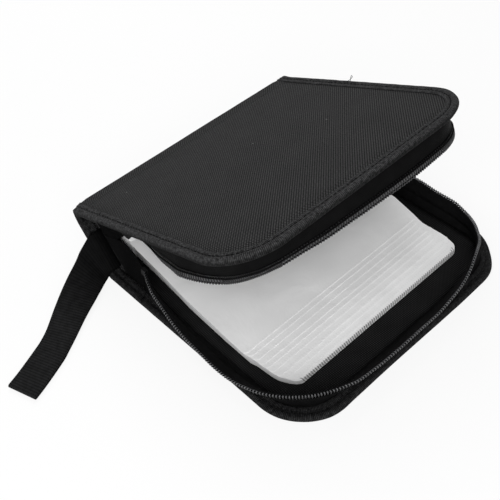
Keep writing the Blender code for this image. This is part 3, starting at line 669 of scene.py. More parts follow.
def bent_strip(start, end, cuts, section, shape, behind=None, closed=False):
    """A strip cut as a flat grid, one row for each point of its section, then bent to a shape."""
    cloth = bmesh.new()
    rows = len(section) - 1
    bmesh.ops.create_grid(cloth, x_segments=cuts, y_segments=rows, size=0.5)
    across = [0.0]
    for before, after in zip(section, section[1:]):
        across.append(across[-1] + math.dist(before, after))
    if behind is None:
        behind = tuple(sum(point[k] for point in section) / len(section) for k in (0, 1))
    uv = cloth.loops.layers.uv.new("UVMap")
    flat = {}
    for vert in cloth.verts:
        run = start + (end - start) * (vert.co.x + 0.5)
        flat[vert] = (run, round((vert.co.y + 0.5) * rows))
    for face in cloth.faces:
        face.smooth = True
        for loop in face.loops:
            run, row = flat[loop.vert]
            loop[uv].uv = (run, across[row])
    for vert, (run, row) in flat.items():
        vert.co = shape(run, *section[row])
    cloth.normal_update()
    facing = 0.0
    for face in cloth.faces:
        run = flat[face.verts[0]][0]
        facing += face.normal.dot(face.calc_center_median() - shape(run, *behind))
    if facing < 0:
        bmesh.ops.reverse_faces(cloth, faces=cloth.faces)
    if closed:
        bmesh.ops.remove_doubles(cloth, verts=cloth.verts, dist=0.002 * MM)
        bmesh.ops.holes_fill(cloth, edges=[edge for edge in cloth.edges if edge.is_boundary],
                             sides=0)
    return cloth


# Across the wall, as up its slant and out from its outer face in millimetres: the allowance in
# the binding, the outer face, the turned edge and the turned-in part behind it
WALL_SECTION = [(up * MM, out * MM) for up, out in (
    (-0.9, 1.6), (-0.5, 0.5), (0.1, 0.08), (1.2, 0.14), (2.8, 0.28), (4.5, 0.36), (6.2, 0.34),
    (7.8, 0.22), (9.0, 0.08), (9.8, 0.0), (10.2, 0.06), (10.7, 0.12), (11.05, 0.0),
    (11.2, -0.22), (11.1, -0.5), (10.7, -0.66), (9.5, -0.72), (7.8, -0.66), (6.2, -0.5),
    (4.5, -0.4), (2.8, -0.4), (1.2, -0.48), (0.1, -0.6), (-0.6, -0.3), (-0.9, 1.6))]


def plain_nylon(name, painted_inside_light):
    """The look of the walls' plain nylon, with painted light past the turned edge, lighter by the named
    factor.
    """
    look, tree, shader = look_with(name, WALL_COLOUR, 0.55)
    chart_map = on_chart(tree)
    woven = use_group(tree, weave, {"Vector": chart_map, "Threads": 1 / WALL_PITCH})
    split = add_node(tree, "ShaderNodeSeparateXYZ", {0: chart_map})
    # Painted light: the colour is lifted past the turned edge, on the wall's inner side
    shade(tree, shader, WALL_COLOUR, mottled(tree, chart_map, 150.0, 0.8, 1.2),
          ranged(tree, split.outputs[1], 1.0, painted_inside_light, *WALL_TURNED))
    raise_bump(tree, shader, woven["Height"], 0.05 * MM)
    return look


wall_look = plain_nylon("plain_nylon", WALL_INSIDE_PAINTED_LIGHT)
web_look = plain_nylon("web_nylon", 1.0)

COVERS = (("base", on_base, "case_base"), ("lid", on_lid, "lid"))
walls = {}
for label, place, body in COVERS:
    walls[label] = wall_of(label, place)
    start = WALL_STARTS[label]
    end = EDGE_RUN - start
    cuts = round((end - start) / WALL_STEP)
    cloth = bent_strip(start, end, cuts, WALL_SECTION, walls[label], closed=True)
    piece = make(label + "_soft_wall", cloth, wall_look)
    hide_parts(label + "_gusset")
    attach(piece, body)

# Zip tapes
# Each wall's turned edge is sewn over one side of the zip's woven black tape, which carries
# the coil on its outer face. The stitching shows as small dents along the wall's edge.
TAPE_THICKNESS = 0.4 * MM
TAPE_PITCH = 0.7 * MM
TAPE_COLOUR = (0.006, 0.006, 0.0062)
# Across the tape, as up the wall's slant and out from the wall's outer face in millimetres
TAPE_SECTION = [(up * MM, out * MM) for up, out in (
    (7.0, -1.15), (9.0, -1.15), (11.0, -1.15), (12.4, -1.1), (14.0, -1.05), (15.2, -1.05),
    (15.9, -1.05))]

ribs, given, result = new_group("cross_ribs", [("Pitch", 0.00095), ("Slub", 0.3)], ["Height"])
split = add_node(ribs, "ShaderNodeSeparateXYZ", {0: given["Vector"]})
turns = sums(ribs, "DIVIDE", split.outputs[0], given["Pitch"])
drift = add_node(ribs, "ShaderNodeTexNoise",
                 {"Vector": given["Vector"], "Scale": 260.0, "Detail": 2.0}).outputs[0]
turns = sums(ribs, "ADD", turns, sums(ribs, "MULTIPLY", drift, given["Slub"]))
ribs.links.new(sums(ribs, "POWER", ridges(ribs, turns), 0.7), result["Height"])

tape_look, tree, shader = look_with("zip_tape", TAPE_COLOUR, 0.6)
chart_map = on_chart(tree)
rows = use_group(tree, ribs, {"Vector": chart_map, "Pitch": TAPE_PITCH, "Slub": 0.2})
shade(tree, shader, TAPE_COLOUR, mottled(tree, chart_map, 400.0, 0.7, 1.3))
raise_bump(tree, shader, rows["Height"], 0.08 * MM)

for label, place, body in COVERS:
    start = WALL_STARTS[label]
    end = EDGE_RUN - start
    cuts = round((end - start) / WALL_STEP)
    cloth = bent_strip(start, end, cuts, TAPE_SECTION, walls[label], behind=(11 * MM, -4 * MM))
    piece = make(label + "_tape", cloth, tape_look, TAPE_THICKNESS)
    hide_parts(label + "_zip_tape")
    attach(piece, body)

# Zip coil
# Each half of the zip is a nylon wire wound into a flat coil, sewn to the tape by a thread that
# runs over its turns, with a cord inside it. The bent heads stand out past the tape to mesh
# with the other half's, and a highlight is painted on their tops, fading out near the ends.
COIL_PITCH = 1.55 * MM
COIL_WIRE = 0.29 * MM
# One turn, as a share of the pitch, up the tape, out from it, the wire's swelling and painted highlight
COIL_TURN = (
    (0.00, 13.0, -0.7, 0.9, 0.0), (0.00, 14.8, -0.7, 1.0, 0.2), (0.02, 15.9, -0.66, 1.1, 0.8),
    (0.04, 16.35, -0.45, 1.25, 1.0), (0.06, 16.35, -0.05, 1.25, 1.0), (0.08, 15.8, 0.2, 1.2, 0.9),
    (0.12, 14.6, 0.28, 1.1, 0.45), (0.18, 13.4, 0.2, 1.0, 0.15), (0.24, 12.7, 0.0, 0.9, 0.1),
    (0.50, 12.4, -0.4, 0.9, 0.0), (0.88, 12.6, -0.66, 0.9, 0.0))
COIL_COLOUR = (0.005, 0.005, 0.0052)
# Painted highlight on the coil's heads: how much it lightens the wire, and its fade-in from each end
PAINTED_GLINT_LIGHT = 30.0
GLINT_FADE_RUN = 14.0 * MM
CORD_RADIUS = 0.46 * MM
STOP_LENGTH = 3.2 * MM

coil_look, tree, shader = look_with("nylon_coil", COIL_COLOUR, 0.35, specular=0.4)
# Painted highlight: the wire is coloured lighter where each turn's highlight share is set
painted_glint_mask = add_node(tree, "ShaderNodeAttribute", attribute_name="painted_glint").outputs["Fac"]
shade(tree, shader, COIL_COLOUR, ranged(tree, painted_glint_mask, 1.0, PAINTED_GLINT_LIGHT),
      mottled(tree, in_piece(tree), 500.0, 0.7, 1.3))


def sewing_thread(name, colour):
    """The look of a fine black thread, a little fuzzy."""
    look, tree, shader = look_with(name, colour, 0.7)
    shade(tree, shader, colour, mottled(tree, in_piece(tree), 1500.0, 0.6, 1.5))
    return look


thread_look = sewing_thread("black_thread", (0.022, 0.022, 0.024))
zip_thread_look = sewing_thread("zip_thread", (0.004, 0.004, 0.0042))


def drawn_wire(name, points, radius, look, swell=None):
    """A wire drawn along a line of points, as a mesh."""
    line = bpy.data.curves.new(name + "_line", "CURVE")
    line.dimensions = "3D"
    line.bevel_depth = radius
    line.bevel_resolution = 0
    line.use_fill_caps = True
    spline = line.splines.new("POLY")
    spline.points.add(len(points) - 1)
    for i, (target, point) in enumerate(zip(spline.points, points)):
        target.co = (*point, 1)
        target.radius = swell[i] if swell else 1.0
    drawn = bpy.data.objects.new(name + "_drawn", line)
    bpy.context.scene.collection.objects.link(drawn)
    bpy.context.view_layer.update()
    graph = bpy.context.evaluated_depsgraph_get()
    mesh = bpy.data.meshes.new_from_object(drawn.evaluated_get(graph))
    bpy.data.objects.remove(drawn)
    mesh.materials.clear()
    mesh.materials.append(look)
    mesh.polygons.foreach_set("use_smooth", [True] * len(mesh.polygons))
    piece = bpy.data.objects.new(name, mesh)
    bpy.context.scene.collection.objects.link(piece)
    return piece


for label, place, body in COVERS:
    shape = walls[label]
    start = WALL_STARTS[label] + STOP_LENGTH + 0.5 * MM
    turns = int((EDGE_RUN - 2 * start) / COIL_PITCH)
    pitch = (EDGE_RUN - 2 * start) / turns
    points = []
    swell = []
    painted_glints = []
    for turn in range(turns):
        for share, up, out, grow, painted_glint in COIL_TURN:
            points.append(shape(start + pitch * (turn + share), up * MM, out * MM))
            swell.append(grow)
            # Each point's share of the painted highlight, faded out near the coil's ends
            ends = min(turn + 1, turns - turn) * pitch
            painted_glints.append(painted_glint * min(ends / GLINT_FADE_RUN, 1) ** 2)
    piece = drawn_wire(label + "_coil", points, COIL_WIRE, coil_look, swell=swell)
    count = len(piece.data.vertices)
    around = count // len(points)
    glint_layer = piece.data.attributes.new("painted_glint", "FLOAT", "POINT")
    glint_layer.data.foreach_set("value", [painted_glints[min(i // around, len(painted_glints) - 1)] for i in range(count)])
    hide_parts(label + "_zip_teeth")
    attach(piece, body)
    for row, (up, radius) in enumerate(((12.6, 0.34), (13.1, 0.24))):
        seam = []
        for i in range(turns * 4 + 1):
            hop = 0.5 + 0.5 * math.cos(math.pi * (i - row) / 2)
            seam.append(shape(start + pitch * i / 4, up * MM, (0.42 + 0.16 * hop) * MM))
        thread = drawn_wire(label + "_coil_thread_" + "ab"[row], seam, radius * MM, zip_thread_look)
        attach(thread, body)
    inner = [shape(start + pitch * i / 2, 15.8 * MM, -0.24 * MM) for i in range(turns * 2 + 1)]
    cord = drawn_wire(label + "_coil_cord", inner, CORD_RADIUS, zip_thread_look)
    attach(cord, body)

# Edge bindings
# Ribbed black tape is folded round the edge of each cover and sewn through near its middle, so
# it stands up a little on both sides of the stitches. It runs from fold to fold.
BINDING_WIDTH = 6.5 * MM
BINDING_CLOTH = 0.4 * MM
BINDING_STEP = 2.0 * MM
BINDING_PITCH = 0.85 * MM
# One tape in two colours: the base's, also used on the spine's ends, is painted darker, as shade
LID_BINDING_COLOUR = (0.029, 0.029, 0.0296)
BASE_BINDING_SHADED_COLOUR = (0.0135, 0.0135, 0.0138)
STITCH_PITCH = 2.7 * MM
STITCH_LENGTH = 2.0 * MM
STITCH_WIDTH = 0.42 * MM
STITCH_OUT = -3.75 * MM
# Depth of the stitches on a tape's outer and inner side, and which way they stand up there
STITCH_SIDES = ((0.1 * MM, -1), (2.92 * MM, 1))
SEAM_START = 30.0 * MM
# How far each cover's tape stands past the cover's edge, at runs round it, in millimetres
TAPE_GROWTH = {
    "base": ((0, 0.5), (110, 0.4), (142, 0.7), (160, 1.4), (176, 1.0), (200, 0.8), (252, 1.1),
             (280, 0.6), (297, -1.1), (315, -0.6), (338, 0.3), (442, 0.3)),
    "lid": ((0, 0.0), (262, 0.0), (283, -0.6), (300, 0.2), (318, 0.9), (400, 0.9), (442, 0.5))}
END_TAPE_LENGTH = 26.0 * MM
END_TAPE_SKEW = 4.0 * MM
SLANT_REACH = 15.0 * MM


def growth_at(label, run, out):
    """How far a cover's tape stands out at a run, most along its outer edge."""
    table = TAPE_GROWTH[label]
    i, share = row_at(table, run / MM)
    share = share * share * (3 - 2 * share)
    growth = table[i][1] + (table[i + 1][1] - table[i][1]) * share
    return growth * MM * (BINDING_WIDTH + out) / BINDING_WIDTH


# Across the tape, as out from the cover's edge and depth in millimetres, outer face first
BINDING_SECTION = [(out * MM, depth * MM) for out, depth in (
    (-6.5, 0.42), (-6.35, 0.05), (-5.9, -0.14), (-5.1, -0.2), (-4.6, -0.1), (-4.2, 0.2),
    (-3.95, 0.42), (-3.75, 0.48), (-3.55, 0.42), (-3.3, 0.2), (-2.95, -0.12), (-2.2, -0.28),
    (-1.5, -0.2), (-0.9, 0.1), (-0.4, 0.6), (-0.1, 1.2), (0.0, 1.9), (-0.1, 2.6), (-0.4, 3.15),
    (-0.9, 3.55), (-1.5, 3.7), (-2.2, 3.6), (-3.0, 3.2), (-3.4, 2.95), (-3.75, 2.85),
    (-4.1, 2.92), (-4.5, 3.08), (-5.1, 3.16), (-5.9, 3.1), (-6.35, 3.0), (-6.5, 2.7))]


def ribbed_tape(name, colour, painted_side_shade):
    """The look of ribbed tape with ribs across it, painted shade in their valleys and, by a factor, on its
    side.
    """
    look, tree, shader = look_with(name, colour, 0.6)
    chart_map = on_chart(tree)
    cords = use_group(tree, ribs, {"Vector": chart_map, "Pitch": BINDING_PITCH, "Slub": 0.6})
    split = add_node(tree, "ShaderNodeSeparateXYZ", {0: chart_map})
    # Painted shade: darker rib valleys, and a darker tape past about 7 mm across, by the side factor
    shade(tree, shader, colour, ranged(tree, cords["Height"], 0.1, 1.75),
          mottled(tree, chart_map, 600.0, 0.4, 1.6), mottled(tree, chart_map, 1400.0, 0.5, 1.5),
          ranged(tree, split.outputs[1], 1.0, painted_side_shade, 7 * MM, 8.4 * MM))
    raise_bump(tree, shader, cords["Height"], 0.35 * MM)
    return look


# Only the lid's tape gets the painted shade on its side and inner face past its outer face
binding_looks = {"base": ribbed_tape("ribbed_tape", BASE_BINDING_SHADED_COLOUR, 1.0),
                 "lid": ribbed_tape("ribbed_tape_of_lid", LID_BINDING_COLOUR, 0.4)}


def puckered(shape, label):
    """The tape's slight unevenness along its edge, and how far it stands past the cover."""
    def bend(run, out, depth):
        wave = noise.noise(Vector((run * 160, out * 200, len(label)))) * 0.12 * MM
        side = -1 if depth < BINDING_DEPTH / 2 else 1
        return shape(run, out + growth_at(label, run, out), depth + side * wave)
    return bend


def slanted_from(shape, start):
    """Let the base's tape begin against the slanting cut of the tape from the spine."""
    def bend(run, out, depth):
        slant = END_TAPE_SKEW * -out / BINDING_WIDTH
        first = clamped(1 - (run - start) / SLANT_REACH)
        last = clamped(1 - (EDGE_RUN - start - run) / SLANT_REACH)
        return shape(run + slant * (last - first), out, depth)
    return bend


def stitches(name, shape, start, end):
    """Stitches in the groove of a tape from start to end, on its outer and its inner side."""
    row = bmesh.new()
    count = max(int((end - start) / STITCH_PITCH), 1)
    for depth, outward in STITCH_SIDES:
        for i in range(count):
            run = start + (end - start) * (i + 0.5) / count
            middle = shape(run, STITCH_OUT, depth)
            along = (shape(run + 0.2 * MM, STITCH_OUT, depth)
                     - shape(run - 0.2 * MM, STITCH_OUT, depth)).normalized()
            upward = (shape(run, STITCH_OUT, depth + outward * MM) - middle).normalized()
            side = along.cross(upward)
            turn = Matrix((along * STITCH_LENGTH / 2, side * STITCH_WIDTH / 2,
                           upward * STITCH_WIDTH / 2)).transposed().to_4x4()
            bmesh.ops.create_icosphere(row, subdivisions=1, radius=1.0,
                                       matrix=Matrix.Translation(middle) @ turn)
    bmesh.ops.recalc_face_normals(row, faces=row.faces)
    for face in row.faces:
        face.smooth = True
    return make(name, row, zip_thread_look)


for label, place, body in COVERS:
    shape = edge_of(place)
    start = 30.3 * MM if label == "base" else FOLD_REACH
    bend = puckered(shape, label)
    if label == "base":
        bend = slanted_from(bend, start)
    cloth = bent_strip(start, EDGE_RUN - start, round((EDGE_RUN - 2 * start) / BINDING_STEP),
                       BINDING_SECTION, bend)
    piece = make(label + "_binding", cloth, binding_looks[label], BINDING_CLOTH)
    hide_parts(label + "_edge_binding")
    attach(piece, body)
    thread = stitches(label + "_binding_stitches", shape, SEAM_START, EDGE_RUN - SEAM_START)
    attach(thread, body)

# Spine's tape
# The same ribbed tape binds each end of the spine. It runs on over both folds and a little way
# along the covers, where it is cut slanting and sewn down over or against their own binding.
LID_TAPE_LIFT = 0.15 * MM
# How far the near end's tape swells out along the spine and droops over the upper fold
NEAR_SWELL = 2.2 * MM
NEAR_DROOP = 1.2 * MM
SWELL_REACH = 16.0 * MM
# The outer groove, as out from the edge, fills up to a depth where the tape turns over a fold
GROOVE = (-6.2 * MM, -1.0 * MM)
GROOVE_FILLED = 0.1 * MM
END_TAPE_STEP = 0.9 * MM


def on_side(place, side):
    """Places along a cover's or the spine's end: run, out from it and depth."""
    def shape(run, out, depth):
        return place(run, side * (COVER_HALF + out), depth)
    return shape


def slanted(shape, first):
    """Let a tape's cut end slant across its width."""
    def bend(run, out, depth):
        share = (run - first) / (END_TAPE_LENGTH - first)
        reach = END_TAPE_LENGTH + END_TAPE_SKEW * (BINDING_WIDTH + out) / BINDING_WIDTH
        return shape(first + (reach - first) * share, out, depth)
    return bend


def swollen(run, body):
    """How far the near end's tape swells out on the spine and over the upper fold."""
    if body == "spine":
        return -NEAR_SWELL * clamped((run - FOLD_REACH) / SWELL_REACH)
    turned = run / FOLD_REACH
    swell = clamped((SPINE_WIDTH - 2 * FOLD_REACH) / SWELL_REACH) * clamped(-turned)
    return NEAR_DROOP * max(1 - 1.2 * abs(turned - 0.1), 0) - NEAR_SWELL * swell


def laid(shape, body, side, lift):
    """Lay an end's tape on a body, or over the lower or the upper fold."""
    def bend(run, out, depth):
        raised = lift
        if body == "upper":
            raised = LID_TAPE_LIFT * clamped((run + FOLD_REACH) / (2 * FOLD_REACH))
        grow = raised if out > -6 * MM else 0
        side_way = -1 if depth < BINDING_DEPTH / 2 else 1
        if body in ("upper", "lower") and depth < 0.9 * MM and GROOVE[0] < out < GROOVE[1]:
            depth += (GROOVE_FILLED - depth) * max(1 - abs(run) / FOLD_REACH, 0)
        if side < 0 and body in ("spine", "upper"):
            depth += swollen(run, body) * (BINDING_WIDTH + out) / BINDING_WIDTH
        if body in ("case_base", "lower"):
            grow += growth_at("base", 0.0 if side < 0 else EDGE_RUN, out)
        return shape(run, out + grow, depth + side_way * raised)
    return bend


for end_name, side in (("near", -1), ("far", 1)):
    for name, place, low, high, lift, node, body in (
            ("base_corner_binding_", on_base, FOLD_REACH, END_TAPE_LENGTH, 0.0,
             "base_corner_tape_", "case_base"),
            ("spine_binding_", on_spine, FOLD_REACH, SPINE_WIDTH - FOLD_REACH, 0.0,
             "spine_end_tape_", "spine"),
            ("lid_corner_binding_", on_lid, FOLD_REACH, END_TAPE_LENGTH, LID_TAPE_LIFT,
             "lid_corner_tape_", "lid"),
            ("lower_fold_binding_", over_lower_fold, -FOLD_REACH, FOLD_REACH, 0.0, None, "lower"),
            ("upper_fold_binding_", over_upper_fold, -FOLD_REACH, FOLD_REACH, 0.0, None, "upper")):
        shape = on_side(place, side)
        if body in ("case_base", "lid"):
            shape = slanted(shape, FOLD_REACH)
        bend = laid(shape, body, side, lift)
        cuts = max(round((high - low) / END_TAPE_STEP), 4)
        cloth = bent_strip(low, high, cuts, BINDING_SECTION, bend)
        # The lid and upper fold take the lid's colour; the rest take the darker, painted-shade copy
        look = binding_looks["lid" if body in ("lid", "upper") else "base"]
        piece = make(name + end_name, cloth, look, BINDING_CLOTH)
        thread = stitches(name + end_name + "_stitches", bend, low, high - 0.8 * MM)
        if node:
            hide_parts(node + end_name)
        for part in (piece, thread):
            if node:
                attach(part, body)
            else:
                blend_over(part, body == "lower")

# End gussets
# A web of plain nylon closes each end of the case between its three flat parts. It is sewn to
# both soft walls' ends and into the spine, with a crease and a slit where the zip runs out.
SLIT_OFFSET = (-2.0 * MM, 21.0 * MM)
SLIT_INSETS = {-1: 11.3 * MM, 1: 9.0 * MM}
SLIT_LIP = 1.0 * MM
SLIT_LIPS = {"base": (11.0 * MM, -1.2 * MM), "lid": (7.0 * MM, 6.0 * MM)}
WEB_DEPTH = 4.2 * MM
WEB_FOOT_DEPTH = 2.6 * MM
WEB_STEPS = 12
WEB_THICKNESS = 0.4 * MM


def smooth_between(before, start, end, after, share):
    """A point on the smooth curve through four points, between the middle two."""
    pull = (end - before) / 2
    push = (after - start) / 2
    square = share * share
    cube = square * share
    return ((2 * cube - 3 * square + 1) * start + (cube - 2 * square + share) * pull
            + (3 * square - 2 * cube) * end + (cube - square) * push)


def along_points(points, share):
    """A point on a smooth line through points, at a share of their number."""
    place = share * (len(points) - 1)
    i = min(int(place), len(points) - 2)
    return smooth_between(points[max(i - 1, 0)], points[i], points[i + 1],
                          points[min(i + 2, len(points) - 1)], place - i)


for end_name, side in (("near", -1), ("far", 1)):
    foot = COVER_HALF - WALL_FOOT - 0.35 * MM
    slit = Vector((BASE_FOLD.x + SLIT_OFFSET[0], side * (COVER_HALF - SLIT_INSETS[side]),
                   SLIT_OFFSET[1]))
    spine_middle = on_spine(SPINE_WIDTH * 0.53, side * (foot - SLIT_LIP), WEB_DEPTH)
    for label, place, body in COVERS:
        start = WALL_STARTS[label] + 0.3 * MM
        middle_u = WALL_STARTS[label] * 0.45
        dx, dz = SLIT_LIPS[label]
        lip = Vector((slit.x + dx, side * (COVER_HALF - SLIT_INSETS[side] - SLIT_LIP),
                      slit.z + dz))
        columns = [
            (place(7.5 * MM, side * foot, WEB_DEPTH), spine_middle),
            (place(middle_u * 0.75, side * foot, WEB_FOOT_DEPTH + 0.4 * MM), slit),
            (place(middle_u, side * foot, WEB_FOOT_DEPTH), lip)]
        end_run = start if side < 0 else EDGE_RUN - start
        web = bmesh.new()
        bmesh.ops.create_grid(web, x_segments=3 * WEB_STEPS, y_segments=WEB_STEPS, size=0.5)
        chart(web)
        for vert in web.verts:
            height = vert.co.y + 0.5
            lines = [low.lerp(high, height) for low, high in columns]
            lines.append(walls[label](end_run, (0.5 + 14 * height) * MM, -0.35 * MM))
            vert.co = along_points(lines, vert.co.x + 0.5)
        face_from(web, Vector((0, 0, 20 * MM)))
        piece = make(end_name + "_web_" + label, web, web_look, WEB_THICKNESS)
        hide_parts(end_name + "_end_gusset")
        if label == "base":
            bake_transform(piece, "case_base", "spine", start=BASE_FOLD + Vector((17 * MM, 0, 6 * MM)),
                     end=BASE_FOLD + Vector((0, 0, 16 * MM)))
        else:
            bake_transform(piece, "spine", "lid", start=BASE_FOLD + Vector((2 * MM, 0, 24 * MM)),
                     end=on_lid(28 * MM, 0, 10 * MM))

# Film sleeves
# The discs' sleeves are pockets of milky film, welded near their edges and bound like a book.
# The upper leaves stand back from the front, so their edges make a flight of low steps.
FILM_COLOUR = (0.93, 0.93, 0.93)
WELD_PITCH = 1.45 * MM
WELD_INSET = 2.0 * MM
LEAF_BACK = 3.0 * MM
LEAF_HALF = 60.0 * MM
LEAF_FLOOR = 3.9 * MM
LEAF_THICKNESS = 0.16 * MM
LEAF_CORNER = 2.5 * MM
# How far the lowest leaf lies in from the top one at the near side
LEAF_UNDERCUT = 3.0 * MM
LEAF_STEP = 4.5 * MM
LEAF_RINGS = (1.0 * MM, 0.9 * MM, 0.9 * MM, 1.6 * MM)
LEAF_CLING = 0.14 * MM
LEAF_SHARP = 0.8
# Share of a full leaf's height in the stack that is film and not air
LEAF_SHARE = 0.88
FULL_LEAVES = 12
FULL_FRONT = 130.3
# Where the shorter upper leaves end, in millimetres from the fold
SHORT_FRONTS = (128.6, 125.8, 123.0, 119.6, 116.4, 113.6, 110.0, 106.5, 103.4)
LONGEST_SHORT = 130.0 * MM
SHORT_SPAN = 28.0 * MM
# The stack in millimetres: distance from the fold, near and far inset, and top
STACK = ((3.0, 17.0, 19.8, 18.7), (24.0, 15.7, 19.6, 17.4), (42.0, 14.3, 19.6, 16.7),
         (54.0, 13.0, 19.6, 16.4), (84.0, 11.6, 20.4, 15.6), (103.0, 11.2, 23.6, 14.0),
         (108.0, 12.3, 24.8, 13.4), (116.0, 12.6, 23.7, 12.4), (123.0, 14.0, 22.6, 10.8),
         (127.5, 17.3, 22.4, 9.0), (130.6, 19.2, 23.0, 7.6))


def stack_at(u, column):
    """The stack's inset or top at a distance from the fold."""
    i, share = row_at(STACK, u / MM)
    return (STACK[i][column] + (STACK[i + 1][column] - STACK[i][column]) * share) * MM


film_look, tree, shader = look_with("milky_film", FILM_COLOUR, 0.35, specular=0.3)
film_map = on_chart(tree)
edge_in = add_node(tree, "ShaderNodeAttribute", attribute_name="edge").outputs["Fac"]
split = add_node(tree, "ShaderNodeSeparateXYZ", {0: film_map})
sideways = sums(tree, "ABSOLUTE", split.outputs[1])
by_front = sums(tree, "MULTIPLY", sums(tree, "GREATER_THAN", split.outputs[0], 101 * MM),
                sums(tree, "LESS_THAN", sideways, LEAF_HALF - 2.2 * MM))
dashes = sums(tree, "MULTIPLY", by_front, sums(tree, "GREATER_THAN", sums(
    tree, "FRACT", sums(tree, "DIVIDE", split.outputs[1], WELD_PITCH)), 0.5))
off_weld = sums(tree, "ABSOLUTE", sums(tree, "SUBTRACT", edge_in, WELD_INSET))
weld = ranged(tree, off_weld, 0.05, 0.0, 0.3 * MM, 0.6 * MM)
rim = ranged(tree, edge_in, 0.62, 0.0, 0.1 * MM, 0.5 * MM)
dim = sums(tree, "SUBTRACT", 1.0, sums(tree, "MULTIPLY", dashes, sums(tree, "MAXIMUM", weld, rim)))
# Painted light: the film is coloured lighter towards the fold, under the lid, and darker at its front
shade(tree, shader, FILM_COLOUR, dim, mottled(tree, film_map, 35.0, 0.95, 1.04),
      ranged(tree, split.outputs[0], 1.04, 0.94, 50 * MM, 118 * MM))
wrinkle = add_node(tree, "ShaderNodeTexNoise",
                   {"Vector": film_map, "Scale": 45.0, "Detail": 4.0, "Distortion": 0.6}).outputs[0]
raise_bump(tree, shader, wrinkle, 0.6 * MM)


def leaf_blank(front):
    """A flat leaf from the strip to its front edge, with its distance from the edge on it."""
    sheet = flat_cloth(LEAF_BACK, front, LEAF_HALF, LEAF_CORNER, 3)
    layer = sheet.verts.layers.float.new("edge")
    depth_in = 0.0
    for width in LEAF_RINGS:
        before = set(sheet.verts)
        inset_middle(sheet, width)
        depth_in += width
        for vert in sheet.verts:
            if vert not in before:
                vert[layer] = depth_in
    cut_rows(sheet, 0, LEAF_BACK, front, LEAF_STEP)
    cut_rows(sheet, 1, -LEAF_HALF, LEAF_HALF, LEAF_STEP)
    for vert in sheet.verts:
        inside = min(vert.co.x - LEAF_BACK, front - vert.co.x, LEAF_HALF - abs(vert.co.y))
        if inside > depth_in:
            vert[layer] = inside
    return sheet


stack = bmesh.new()
fronts = [FULL_FRONT] * FULL_LEAVES + list(SHORT_FRONTS)
stack.verts.layers.float.new("edge")
stack.loops.layers.uv.new("UVMap")
for leaf, front in enumerate(fronts):
    level = leaf / (len(fronts) - 1)
    upper = leaf - FULL_LEAVES + 1
    sheet = leaf_blank(front * MM + 0.3 * MM * noise.noise(Vector((leaf * 3.7, 1, 1))))
    chart(sheet)
    jitter = noise.noise(Vector((leaf * 1.9, 5, 2))) * 0.4 * MM
    edge_layer = sheet.verts.layers.float["edge"]
    thickness = sheet.verts.layers.float.new("thickness")
    for vert in sheet.verts:
        u, v = vert.co.xy
        near = -COVER_HALF + stack_at(u, 1) + jitter + (0.6 - level) * LEAF_UNDERCUT
        vert[thickness] = LEAF_THICKNESS
        far = COVER_HALF - stack_at(u, 2) - jitter
        y = near + (far - near) * (v + LEAF_HALF) / (2 * LEAF_HALF)
        steps = len(SHORT_FRONTS) * clamped((LONGEST_SHORT - u) / SHORT_SPAN)
        crown = stack_at(u, 3) - LEAF_CLING * steps
        if upper <= 0:
            z = LEAF_FLOOR + (crown - LEAF_FLOOR) * (leaf + 1) / FULL_LEAVES
            vert[thickness] = LEAF_SHARE * (crown - LEAF_FLOOR) / FULL_LEAVES
        else:
            z = crown + LEAF_CLING * upper
            vert[edge_layer] += MM
        ripple = noise.noise(Vector((u * 30, y * 30, 0.3 if upper >= 0 else leaf)))
        vert.co = on_base(u, y, z + ripple * 0.4 * MM * level)
    below = bmesh.ops.extrude_face_region(sheet, geom=sheet.faces[:], use_keep_orig=True)["geom"]
    for vert in below:
        if isinstance(vert, bmesh.types.BMVert):
            vert.co.z -= vert[thickness]
    bmesh.ops.recalc_face_normals(sheet, faces=sheet.faces)
    for edge in sheet.edges:
        edge.smooth = edge.calc_face_angle(0.0) < LEAF_SHARP
    loose = bpy.data.meshes.new("leaf")
    sheet.to_mesh(loose)
    sheet.free()
    stack.from_mesh(loose)
    bpy.data.meshes.remove(loose)
sleeves = make("film_sleeves", stack, film_look)
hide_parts("disc_sleeves")
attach(sleeves, "case_base")

# Sleeve strip
# The backs of all the leaves are welded together into one strip of film. It rises from the stack
# to the inside of the spine, where it is sewn down, and bends as the spine folds.
STRIP_SEAT = 20.6 * MM
STRIP_SEAT_DEPTH = 2.6 * MM
STRIP_INSETS = {"near": (16.6 * MM, 14.6 * MM), "far": (19.8 * MM, 21.0 * MM)}
STRIP_TOP = 18.85 * MM
STRIP_FOOT = 5.0 * MM
STRIP_BEND = 1.5 * MM
# Round the strip: share of the way to the spine, and level from the low film to the top film
STRIP_SECTION = ((0.0, 1.0), (0.2, 1.0), (0.4, 1.0), (0.6, 1.0), (0.8, 1.0), (1.0, 1.0),
                 (1.0, 0.0), (0.8, 0.0), (0.6, 0.0), (0.4, 0.0), (0.2, 0.0), (0.0, 0.0),
                 (0.0, 0.5), (0.0, 1.0))


def in_strip(run, share, level):
    """A place in the strip: run from the near end to the far one."""
    insets = [STRIP_INSETS[side][0] + (STRIP_INSETS[side][1] - STRIP_INSETS[side][0]) * share
              for side in ("near", "far")]
    y = -COVER_HALF + insets[0] + (2 * COVER_HALF - insets[0] - insets[1]) * run
    foot = on_base(LEAF_BACK + 0.4 * MM, y, STRIP_FOOT + (STRIP_TOP - STRIP_FOOT) * level)
    seat = on_spine(STRIP_SEAT + level * 0.6 * MM, y, STRIP_SEAT_DEPTH)
    rise = STRIP_BEND * math.sin(math.pi * share) * (0.4 + 0.6 * level)
    crinkle = 0.25 * MM * noise.noise(Vector((share * 3, y * 60, level)))
    return foot.lerp(seat, share) + Vector((0, 0, rise + crinkle * share))


